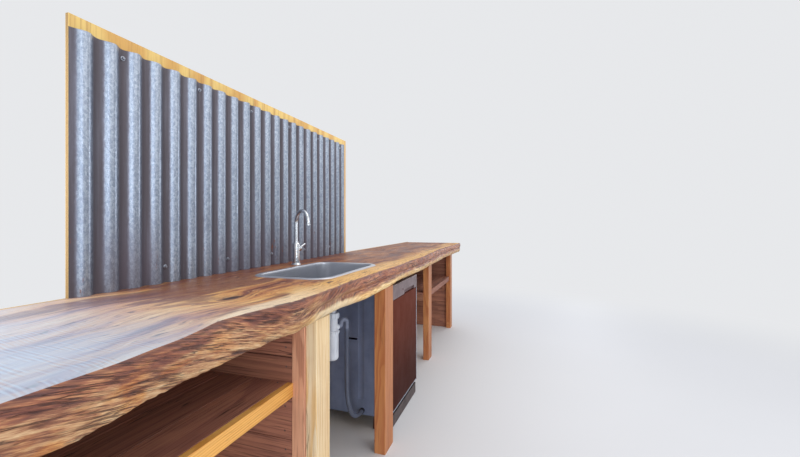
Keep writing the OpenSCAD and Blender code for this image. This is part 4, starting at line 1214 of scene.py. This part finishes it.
# Radius and height steps of a roofing screw's washer and of its six-sided head, in metres
SCREW_WASHER = [(0.0072, 0.0), (0.0078, 0.0022), (0.0074, 0.0034), (0.0056, 0.0042)]
SCREW_HEAD = [(0.0047, 0.0038), (0.0047, 0.0080), (0.0041, 0.0088)]


def nail_places(settings):
    """Places and directions of nails: two where a board crosses a batten, a cleat or a bearer."""
    places, axes = [], []
    pair = settings.nail_pair
    middles = BOARD_MIDDLE + BOARD_PITCH * np.arange(PARTITION_BOARDS)
    for name, front in FRONT_NAILS.items():
        low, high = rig.box(name)
        face, way = (high.x, 1) if name == "left_end_boards" else (low.x, -1)
        y, z = np.meshgrid((front, WALL_NAILS), np.concatenate([middles - pair, middles + pair]))
        places.append(np.stack([np.full(y.size, face), y.ravel(), z.ravel()], -1))
        axes += [(way, 0, 0)] * y.size
    for name, rows in SHELF_NAILS.items():
        low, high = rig.box(name)
        middles = low.y + (high.y - low.y) / SHELF_BOARDS * (np.arange(SHELF_BOARDS) + 0.5)
        x, y = np.meshgrid(rows, np.concatenate([middles - pair, middles + pair]))
        places.append(np.stack([x.ravel(), y.ravel(), np.full(x.size, high.z)], -1))
        axes += [(0, 0, 1)] * x.size
    places = np.concatenate(places)
    sway = np.random.RandomState(7).uniform(-NAIL_SWAY, NAIL_SWAY, places.shape) * (np.abs(axes) < 0.5)
    return places + sway, axes


class BENCH_OT_fixings(bpy.types.Operator):
    """Makes the roofing screws in the iron's valleys and the nails in the boards"""

    bl_idname = "bench.fixings"
    bl_label = "Screws and nails"

    def execute(self, context):
        settings = context.scene.bench_fixings
        low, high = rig.box("splash_sheet_left")[0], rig.box("splash_sheet_right")[1]
        pitch = context.scene.bench_iron.pitch
        places = []
        # The upper row starts two valleys before the lower one
        for row, height in enumerate(settings.row_heights):
            valley = np.arange(settings.every - 2 * row, (high.x - low.x) / pitch, settings.every)
            places.append(np.stack([low.x + valley * pitch, 0 * valley + WALL_Y, 0 * valley + height], -1))
        places = np.concatenate(places)
        axes = [(0, -1, 0)] * len(places)
        screws = mesh_object("roofing_screws", *joined([
            turned_parts(SCREW_WASHER, places, axes, sides=24),
            turned_parts(SCREW_HEAD, places, axes, sides=6)]))
        give(screws, "bench", "galvanised_iron", plain_finish(
            "screw_zinc", (176, 182, 194), (128, 132, 144), 0.38, 0.85, scale=60.0))
        r = settings.nail_radius
        head = [(r, -0.001), (r, 0.0003), (0.75 * r, 0.0007)]
        nails = mesh_object("board_nails", *turned_parts(head, *nail_places(settings), sides=12))
        give(nails, "bench", "hinge_steel", plain_finish(
            "nail_steel", (118, 108, 108), (78, 60, 56), 0.5, 0.6, scale=60.0))
        for piece in (screws, nails):
            piece.data.set_sharp_from_angle(angle=math.radians(35))
        return {"FINISHED"}


# How far the strainer lies below the waste's rim, its ring's radius, and half the length, width and thickness
# of the three bars that make its spokes, in metres
STRAINER_DROP, STRAINER_RING = 0.0045, 0.0188
BAR_LENGTH, BAR_WIDTH, BAR_THICKNESS = 0.0182, 0.0014, 0.0008


def strainer_parts():
    """The waste's strainer: a ring and a boss, joined by six flat spokes."""
    centre = np.array([*middle_of("sink_waste"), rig.box("sink_waste")[1].z - STRAINER_DROP])
    way = np.pad(circle(sides=48), ((0, 0), (0, 1)))
    section = np.array([[0.0008, -0.001], [0.0008, 0.001], [-0.0012, 0.001], [-0.0012, -0.001]])
    ring = closed_sweep(centre + STRAINER_RING * way, way, (0, 0, 1), section)
    boss = turned_parts(
        [(0.0050, -0.001), (0.0050, 0.0008), (0.0036, 0.0016)], [centre], [(0, 0, 1)], sides=24)
    parts = [ring, boss]
    up = np.array([0, 0, BAR_THICKNESS])
    for turn in np.arange(3) * np.pi / 3:
        along = np.array([np.cos(turn), np.sin(turn), 0]) * BAR_LENGTH
        across = np.array([-np.sin(turn), np.cos(turn), 0]) * BAR_WIDTH
        corners = np.array([across - up, across + up, -across + up, -across - up])
        parts.append(tube_mesh(np.stack([centre - along + corners, centre + along + corners])))
    return joined(parts)


# The door seal's lower and upper height, half its width, its corners' radius, its own, how far its middle
# stands before the tub, all in metres, and the sides of its section
SEAL_BOTTOM, SEAL_TOP, SEAL_HALF = 0.112, 0.731, 0.228
SEAL_CORNER, SEAL_RADIUS, SEAL_PROUD = 0.030, 0.0025, 0.0018
SEAL_SIDES = 10

# The door edging's thickness, and how far it reaches over the front, back along the side and up from the foot
EDGING = 0.0008
EDGING_FRONT, EDGING_SIDE, EDGING_FOOT = 0.007, 0.0145, 0.006


def edging_parts():
    """The steel edging of the dishwasher's door: a folded strip down each side and a flat one along the foot.
    Each is a bar from end to end, whose section has (sideways, forward) corners."""
    low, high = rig.box("door_pan")
    t = EDGING
    fold = np.array([
        [-EDGING_FRONT, 0], [-EDGING_FRONT, t], [t, t], [t, -EDGING_SIDE], [0, -EDGING_SIDE], [0, 0]])
    flat = np.array([[0, 0], [0, t], [EDGING_FOOT, t], [EDGING_FOOT, 0]])
    parts = []
    for start, end, way, section in (
        ((low.x, high.z), (low.x, low.z), (-1, 0, 0), fold[::-1]),
        ((high.x, high.z), (high.x, low.z), (1, 0, 0), fold),
        ((low.x, low.z), (high.x, low.z), (0, 0, 1), flat),
    ):
        ends = np.array([(x, low.y, z) for x, z in (start, end)])[:, None, :]
        parts.append(tube_mesh(ends + np.array(way) * section[:, :1] + np.array([0, -1, 0]) * section[:, 1:]))
    return joined(parts)


class BENCH_OT_fittings(bpy.types.Operator):
    """Makes the sink's strainer, the dishwasher's door seal and the steel edging of its door"""

    bl_idname = "bench.fittings"
    bl_label = "Strainer, seal and edging"

    def execute(self, context):
        strainer = mesh_object("waste_strainer", *strainer_parts())
        give(strainer, "bench", "sink_steel", brushed_finish(
            "strainer_steel", (196, 200, 208), (150, 156, 168), 0.24, "x", 1.0))
        strainer.data.set_sharp_from_angle(angle=math.radians(35))
        centre = (0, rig.box("washer_tub")[0].y - SEAL_PROUD, (SEAL_BOTTOM + SEAL_TOP) / 2)
        path, way = round_frame(centre, (SEAL_HALF, 0, (SEAL_TOP - SEAL_BOTTOM) / 2), SEAL_CORNER)
        # The section turns the way that leaves the sweep's faces outward
        section = SEAL_RADIUS * circle(SEAL_SIDES, turn=-1)
        seal = mesh_object("door_seal", *closed_sweep(path, way, (0, -1, 0), section))
        give(seal, "bench", "base_plastic", plain_finish(
            "seal_rubber", (52, 54, 60), (36, 38, 42), 0.6, scale=40.0))
        edging = mesh_object("door_edging", *edging_parts(), smooth=False)
        give(edging, "dishwasher_door", "tub_steel", brushed_finish(
            "edging_steel", (206, 214, 228), (170, 180, 198), 0.22, "z", 1.0))
        return {"FINISHED"}


# The stage


class StageSettings(bpy.types.PropertyGroup):
    """The camera's place and the lamps' power."""

    camera_place: bpy.props.FloatVectorProperty(
        name="Camera", description="Where the photograph was taken from",
        default=(LEFT_END - 0.110, WALL_Y - 1.231, 1.101), subtype="XYZ", unit="LENGTH")
    camera_turn: bpy.props.FloatProperty(
        name="Turn", description="The camera's angle from looking along +Y, to the right",
        default=math.radians(72.1), subtype="ANGLE")
    lens: bpy.props.FloatProperty(
        name="Lens", description="Focal length on a 36 mm sensor", default=16.875, unit="CAMERA")
    horizon_shift: bpy.props.FloatProperty(
        name="Horizon shift",
        description="How far the horizon lies above the frame's middle, as a share of its width",
        default=-0.0069)
    lamp_power: bpy.props.FloatProperty(
        name="Lamp power", description="Power of the large lamp over the front", default=40.0, unit="POWER")
    world_light: bpy.props.FloatProperty(
        name="World light", description="Strength of the even light all round", default=0.85)


def add_lamp(name, place, aim, size, power, tint, glossy):
    """A soft rectangular lamp at a place, aimed at a point and hidden from the camera."""
    lamp = bpy.data.lights.new(name, "AREA")
    lamp.shape = "RECTANGLE"
    lamp.size, lamp.size_y = size
    lamp.energy = power
    lamp.color = tint
    made = in_scene(name, lamp)
    made.location = place
    made.rotation_euler = (Vector(aim) - Vector(place)).to_track_quat("-Z", "Y").to_euler()
    made.visible_camera = False
    made.visible_glossy = glossy


# Each lamp's place, aim, size, share of the lamp power and tint, and whether gloss shows it
LAMPS = {
    "lamp_front": ((-0.6, -3.2, 3.0), (0, 0, 0.8), (3.4, 2.2), 0.75, (1, 0.98, 0.95), True),
    "lamp_low": ((-5.2, -1.9, 0.85), (0.2, -0.2, 0.45), (1.6, 1.2), 1.5, (1, 0.96, 0.92), False),
    "lamp_over": ((0.8, -0.6, 3.1), (0.4, 0, 0.9), (2.6, 1.4), 0.5, (1, 0.97, 0.92), True),
    "lamp_window": ((LEFT_END + 0.05, WALL_Y + 0.02, 1.42), (LEFT_END + 0.25, WALL_Y - 1.5, 1.0),
                    (1.0, 0.9), 0.15, (0.80, 0.88, 1), False),
    "lamp_left": ((-4.3, -4.9, 2.2), (-1.0, 0.3, 1.3), (0.45, 4.2), 1.5, (0.85, 0.92, 1), True),
    "lamp_right": ((6.0, -2.1, 2.0), (-1.0, 0.3, 1.2), (0.5, 3.0), 1.1, (0.92, 0.95, 1), True),
}

# The background's colour, half the floor's width, how far it lies below the bench, and where it starts and
# ends to fade, in metres
BACKGROUND = (0.80, 0.81, 0.83, 1)
FLOOR_HALF, FLOOR_DROP = 12.0, 0.0005
FADE_START, FADE_END = 2.4, 4.8


def pale_world(strength):
    """Even grey-white light, and a plain pale background where the camera, gloss or glass sees it."""
    world = bpy.data.worlds.new("pale_studio")
    world.use_nodes = True
    bpy.context.scene.world = world
    tree = Tree(world.node_tree)
    path = tree.node("ShaderNodeLightPath")
    seen = path["Is Glossy Ray"].through("MAXIMUM", path["Is Transmission Ray"])
    seen = path["Is Camera Ray"].through("MAXIMUM", seen)
    light = world.node_tree.nodes["Background"]
    feed(light.inputs["Color"], (0.90, 0.93, 1.0, 1))
    feed(light.inputs["Strength"], strength)
    back = tree.node("ShaderNodeBackground", Color=BACKGROUND, Strength=1.0)
    tree.blend_to("World Output", seen, Made(tree, light)[0], back[0])


def floor_finish():
    """Plain pale floor with a faint change of tone, which fades into the background far from the bench."""
    tree = new_finish("studio_floor")
    place = tree.place()
    base = tree.mix(tree.noise(place, 0.8, 2), (0.66, 0.66, 0.665, 1), (0.70, 0.70, 0.71, 1))
    made = tree.surface(Base_Color=base, Roughness=0.7)
    distance = tree.node("ShaderNodeVectorMath", {"operation": "LENGTH"}, (place,))["Value"]
    seen = tree.node("ShaderNodeLightPath")["Is Camera Ray"]
    back = tree.node("ShaderNodeEmission", Color=BACKGROUND, Strength=1.0)
    shader = Made(tree, made.node_tree.nodes["Principled BSDF"])
    tree.blend_to("Material Output", distance.between(FADE_START, FADE_END) * seen, shader[0], back[0])
    return made


class BENCH_OT_stage(bpy.types.Operator):
    """Sets the camera, the soft lamps, the world and the pale floor"""

    bl_idname = "bench.stage"
    bl_label = "Stage"

    def execute(self, context):
        settings = context.scene.bench_stage
        scene = context.scene
        scene.view_settings.view_transform = "Standard"
        camera = bpy.data.cameras.new("photo_camera")
        camera.lens, camera.sensor_width, camera.shift_y = settings.lens, 36, settings.horizon_shift
        camera.clip_start = 0.02
        made = in_scene("photo_camera", camera)
        made.location = settings.camera_place
        made.rotation_euler = (math.pi / 2, 0, -settings.camera_turn)
        scene.camera = made
        square = FLOOR_HALF * np.array([[-1, -1, 0], [1, -1, 0], [1, 1, 0], [-1, 1, 0]])
        floor = mesh_object("floor", square - [0, 0, FLOOR_DROP], [[0, 1, 2, 3]], smooth=False)
        floor.data.materials.append(floor_finish())
        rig.stage(floor)
        pale_world(settings.world_light)
        for name, (place, aim, size, share, tint, glossy) in LAMPS.items():
            add_lamp(name, place, aim, size, settings.lamp_power * share, tint, glossy)
        return {"FINISHED"}


# Finishes of the CAD pieces


def plain_finish(name, pale, dark, rough, metallic=0.0, scale=18.0, **more):
    """A moulded or painted surface: two close tones in slow patches, uneven gloss and a fine skin."""
    tree = new_finish(name)
    place = tree.place()
    gloss = tree.effect(smudge_effect, Vector=place, Scale=scale)["Gloss"]
    stains = tree.effect(grime_effect, Vector=place, Scale=scale * 0.4)["Patches"]
    base = tree.mix(gloss.between(0.3, 0.7), pale, dark).tinted([0.75 * c for c in dark], stains * 0.25)
    return tree.surface(
        Base_Color=base, Roughness=gloss.between(0.3, 0.7, rough - 0.06, rough + 0.08), Metallic=metallic,
        Normal=tree.bump(tree.noise(place, 900.0, 2), 0.0002, 0.5), **more)


# How much a scratch pattern is stretched for brushing along each axis
BRUSHED = {"x": (12.0, 1500.0, 1500.0), "y": (1500.0, 12.0, 1500.0), "z": (1500.0, 1500.0, 12.0)}


@shared
def brushed_finish(name, pale, dark, rough, axis, metallic):
    """Brushed sheet steel: long fine scratches along one axis over faint smudges."""
    tree = new_finish(name)
    scratches = tree.noise(tree.place(), BRUSHED[axis], 2)
    gloss = tree.effect(smudge_effect, Vector=tree.place(), Scale=4.0)["Gloss"]
    return tree.surface(
        Base_Color=tree.mix(scratches * 0.6 + gloss * 0.4, pale, dark), Metallic=metallic,
        Roughness=scratches * 0.06 + (gloss * 0.08 + (rough - 0.07)), Anisotropic=0.5,
        Normal=tree.bump(scratches, 0.00001, 0.5))


def door_finish(foot, top):
    """Brown coated steel with fine upright brushing, darker towards the plinth, with wiped smudges."""
    tree = new_finish("door_steel")
    scratches = tree.noise(tree.place(), BRUSHED["z"], 2)
    gloss = tree.effect(smudge_effect, Vector=tree.place(), Scale=6.0)["Gloss"]
    base = tree.mix(tree.split(tree.place())[2].between(0.12, 0.66), foot, top)
    base = base.tinted((68, 32, 25), gloss.between(0.35, 0.7, 0, 0.35))
    base = base.tinted((132, 76, 48), scratches.between(0.5, 0.8, 0, 0.2))
    return tree.surface(
        Base_Color=base, Metallic=0.4, Roughness=gloss.between(0.3, 0.7, 0.34, 0.48), Specular_IOR_Level=0.05,
        Specular_Tint=(0.40, 0.24, 0.18, 1), Normal=tree.bump(scratches, 0.00001, 0.5))


# Metals that several pieces share, as the tables below give them
CHROME = ((226, 230, 234), (196, 200, 206), 0.14, 1.0)
ZINC = ((160, 164, 170), (124, 128, 136), 0.45, 0.7)
SINK_STEEL = ("sink_steel", (200, 202, 208), (174, 177, 186), 0.31, "x", 0.82)

# Timber pieces: kind, axis of the grain, and names
TIMBER_PIECES = [
    ("pale_timber", "z", "left_end_post pale_post"),
    ("stud_timber", "z", "divider_stud"),
    ("brown_timber", "z", "partition_battens"),
    ("brown_timber", "x", "wall_ledger"),
    ("brown_timber", "y", "left_shelf_cleats right_shelf_bearers"),
    ("orange_timber", "z", "sink_post shelf_post right_end_post"),
    ("yellow_timber", "x", "left_shelf_rail"),
    ("dark_boards", "x", "right_shelf_rail"),
]

# Brushed pieces: material, pale and dark tones, roughness, axis of the brushing and metallic share
BRUSHED_PIECES = {
    "sink_bowl": SINK_STEEL,
    "sink_waste": SINK_STEEL,
    "washer_tub": ("tub_steel", (214, 216, 220), (168, 170, 176), 0.24, "y", 1.0),
    "rack_rails": ("rail_steel", (206, 208, 212), (158, 160, 166), 0.3, "y", 1.0),
    "door_liner": ("liner_steel", (214, 216, 220), (168, 170, 176), 0.24, "x", 1.0),
}

# Plain pieces: material, pale and dark tones, roughness and metallic share
PLAIN_PIECES = {
    "bottle_trap": ("white_plastic", (234, 239, 246), (210, 217, 228), 0.36),
    "waste_pipe": ("pipe_plastic", (232, 234, 232), (206, 210, 210), 0.4),
    "hose_elbow": ("elbow_rubber", (132, 140, 160), (102, 110, 130), 0.42),
    "tap_body": ("tap_chrome", *CHROME),
    "tap_backnut": ("nut_chrome", (200, 202, 206), (160, 164, 170), 0.3, 1.0),
    "tap_spout": ("spout_chrome", *CHROME),
    "tap_lever": ("lever_chrome", *CHROME),
    "washer_back_panel": ("back_zinc", *ZINC),
    "washer_top_plate": ("top_zinc", *ZINC),
    "washer_base": ("base_plastic", (58, 58, 62), (40, 40, 44), 0.55),
    "washer_feet": ("feet_plastic", (46, 46, 50), (32, 32, 34), 0.6),
    "washer_plinth": ("plinth_dark", (74, 56, 54), (46, 34, 34), 0.5),
    "washer_hinge_pins": ("hinge_steel", (176, 178, 182), (130, 132, 138), 0.35, 1.0),
}


class DishwasherSettings(bpy.types.PropertyGroup):
    """Colours of the dishwasher."""

    door_top: colour_setting("Door, top", "Colour of the door's coated steel at its top", 108, 52, 30)
    door_foot: colour_setting("Door, foot", "Colour of the door's coated steel by the plinth", 66, 31, 24)
    enamel: colour_setting("Side enamel", "Colour of the side panels", 124, 138, 170)


def node_finishes(settings):
    """The finish of every CAD node that stays in view."""
    made = {
        name: timber_finish(kind, axis) for kind, axis, names in TIMBER_PIECES for name in names.split()}
    for name in FRONT_NAILS:
        made[name] = timber_finish("dark_boards", "y", (2, 0.0, BOARD_PITCH))
    for name in SHELF_NAILS:
        low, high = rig.box(name)
        pitch = (high.y - low.y + SHELF_GAP) / SHELF_BOARDS
        made[name] = timber_finish("dark_boards", "x", (1, low.y, pitch))
    made.update({name: plywood_finish() for name in ("lower_lining", "upper_lining")})
    made.update({name: brushed_finish(*values) for name, values in BRUSHED_PIECES.items()})
    made.update({name: plain_finish(*values) for name, values in PLAIN_PIECES.items()})
    made["washer_side_panels"] = plain_finish(
        "side_enamel", (*settings.enamel, 1), (96, 108, 138), 0.34, scale=5.0)
    made["door_fascia"] = plain_finish(
        "fascia_grey", (118, 99, 100), (104, 86, 87), 0.40, Specular_IOR_Level=0.3)
    made["door_pan"] = door_finish((*settings.door_foot, 1), (*settings.door_top, 1))
    return made


class BENCH_OT_finishes(bpy.types.Operator):
    """Gives every CAD piece that stays in view its material"""

    bl_idname = "bench.finishes"
    bl_label = "Finishes"

    def execute(self, context):
        for name, finish in node_finishes(context.scene.bench_dishwasher).items():
            piece = NODES[name]
            piece.data.materials.clear()
            piece.data.materials.append(finish)
        return {"FINISHED"}


# The drain hose

# Share of the way across and height of each point of the hose's route, in metres
HOSE_ROUTE = [
    (0, 0.586), (0, 0.545), (0, 0.500), (0, 0.455), (0, 0.410), (0, 0.365), (0.005, 0.320), (0.02, 0.276),
    (0.06, 0.234), (0.13, 0.196), (0.23, 0.161), (0.37, 0.131), (0.54, 0.109), (0.71, 0.097), (0.87, 0.092),
    (1, 0.092),
]

# Steps along one rib, corners round the hose, and the length over which the ribs start at each end, in metres
RIB_STEPS = 6
HOSE_SIDES = 20
RIB_START = 0.02

# Points by which the route's length is measured, and steps from point to point of the cord's stated path
ROUTE_POINTS = 2000
CORD_STEPS = 8


class HoseSettings(bpy.types.PropertyGroup):
    """Sizes and colour of the drain hose."""

    diameter: bpy.props.FloatProperty(
        name="Diameter", description="Outside diameter over the ribs", default=0.022, unit="LENGTH")
    rib_pitch: bpy.props.FloatProperty(
        name="Rib pitch", description="Distance from rib to rib", default=0.0042, unit="LENGTH")
    rib_depth: bpy.props.FloatProperty(
        name="Rib depth", description="Depth of the grooves between ribs", default=0.0014, unit="LENGTH")
    length: bpy.props.FloatProperty(
        name="Length", description="Real length between its two ends", default=0.6205, unit="LENGTH")
    ribs: colour_setting("Ribs", "Colour of the ribs", 112, 120, 142)


def hose_path(diameter, step):
    """The hose's centreline: a cubic through its route in one upright plane, at even steps of its length."""
    route = np.array(HOSE_ROUTE)
    start = HOSE_LOW.x + diameter / 2
    x = start + (HOSE_HIGH.x - start) * route[:, 0]
    flat = np.column_stack([x, route[:, 1]])
    run = run_along(flat)
    fine = resample(run, flat, np.linspace(0, run[-1], ROUTE_POINTS))
    real = run_along(fine)
    places = np.linspace(0, real[-1], int(real[-1] / step) + 1)
    x, z = np.interp(places, real, fine[:, 0]), np.interp(places, real, fine[:, 1])
    y = np.full(len(x), (HOSE_LOW.y + HOSE_HIGH.y) / 2)
    return np.stack([x, y, z], -1), places


def hose_finish(ribs):
    """Grey ribbed plastic with dust in the grooves."""
    tree = new_finish("hose_plastic")
    gloss = tree.effect(smudge_effect, Vector=tree.place(), Scale=30.0)["Gloss"]
    base = tree.mix(gloss, ribs, (86, 94, 114))
    base = base.tinted((66, 68, 76), tree.attribute("groove") * 0.7)
    return tree.surface(Base_Color=base, Roughness=gloss.between(0.3, 0.7, 0.42, 0.6))


class BENCH_OT_hose(bpy.types.Operator):
    """Makes the drain hose from the trap's elbow to the dishwasher: circles across its path, whose radius
    swings by a cosine from rib to rib"""

    bl_idname = "bench.hose"
    bl_label = "Drain hose"

    def execute(self, context):
        settings = context.scene.bench_hose
        path, run = hose_path(settings.diameter, settings.rib_pitch / RIB_STEPS)
        forward = np.gradient(path, axis=0)
        forward /= np.linalg.norm(forward, axis=1, keepdims=True)
        side = np.array([0, 1, 0])
        up = np.cross(forward, side)
        groove = (1 - np.cos(2 * np.pi * run / settings.rib_pitch)) / 2
        groove *= ease(run / RIB_START) * ease((run[-1] - run) / RIB_START)
        radius = settings.diameter / 2 - settings.rib_depth * groove
        turn = circle(HOSE_SIDES)
        around = turn[:, :1] * side + turn[:, 1:] * up[:, None, :]
        rings = path[:, None, :] + radius[:, None, None] * around
        piece = mesh_object("ribbed_hose", *tube_mesh(rings[:, ::-1]))
        set_attribute(piece, "groove", np.concatenate([np.repeat(groove, HOSE_SIDES), [0, 0]]))
        give(piece, "bench", "grey_hose", hose_finish((*settings.ribs, 1)))
        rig.replaces(piece, "drain_hose")
        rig.cord(piece, exit=path[0], length=settings.length, diameter=settings.diameter, far_end="object",
                stiffness="medium", lay="hanging", path=path[::CORD_STEPS].tolist() + [path[-1].tolist()])
        return {"FINISHED"}


class BENCH_PT_panel(bpy.types.Panel):
    """The bench's steps and sizes in the sidebar"""

    bl_idname = "BENCH_PT_panel"
    bl_label = "Kitchen bench"
    bl_space_type = "VIEW_3D"
    bl_region_type = "UI"
    bl_category = "Bench"

    def draw(self, context):
        for step in STEPS:
            self.layout.operator(step.bl_idname)
        for name in SETTINGS:
            group = getattr(context.scene, name)
            box = self.layout.box()
            for key in group.bl_rna.properties.keys():
                if key not in ("rna_type", "name"):
                    box.prop(group, key)


SETTINGS = {
    "bench_stage": StageSettings,
    "bench_dishwasher": DishwasherSettings,
    "bench_hose": HoseSettings,
    "bench_slab": SlabSettings,
    "bench_iron": IronSettings,
    "bench_fixings": FixingSettings,
}
STEPS = [
    BENCH_OT_stage, BENCH_OT_hose, BENCH_OT_finishes, BENCH_OT_slab, BENCH_OT_splashback, BENCH_OT_fixings,
    BENCH_OT_fittings,
]
CLASSES = [*SETTINGS.values(), *STEPS, BENCH_PT_panel]


def register():
    """Registers the classes and hangs the settings on the scene."""
    for kind in CLASSES:
        bpy.utils.register_class(kind)
    for name, kind in SETTINGS.items():
        setattr(bpy.types.Scene, name, bpy.props.PointerProperty(type=kind))


def unregister():
    """Takes the settings and classes away again."""
    for name in SETTINGS:
        delattr(bpy.types.Scene, name)
    for kind in CLASSES:
        bpy.utils.unregister_class(kind)


def main():
    """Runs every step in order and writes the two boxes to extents.json."""
    register()
    for step in STEPS:
        group, name = step.bl_idname.split(".")
        getattr(getattr(bpy.ops, group), name)()
    visual_box = [list(corner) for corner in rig.bounds()]
    with open("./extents.json", "w") as out:
        json.dump({"cad": CAD_BOX, "visual": visual_box}, out)


if __name__ == "__main__":
    main()
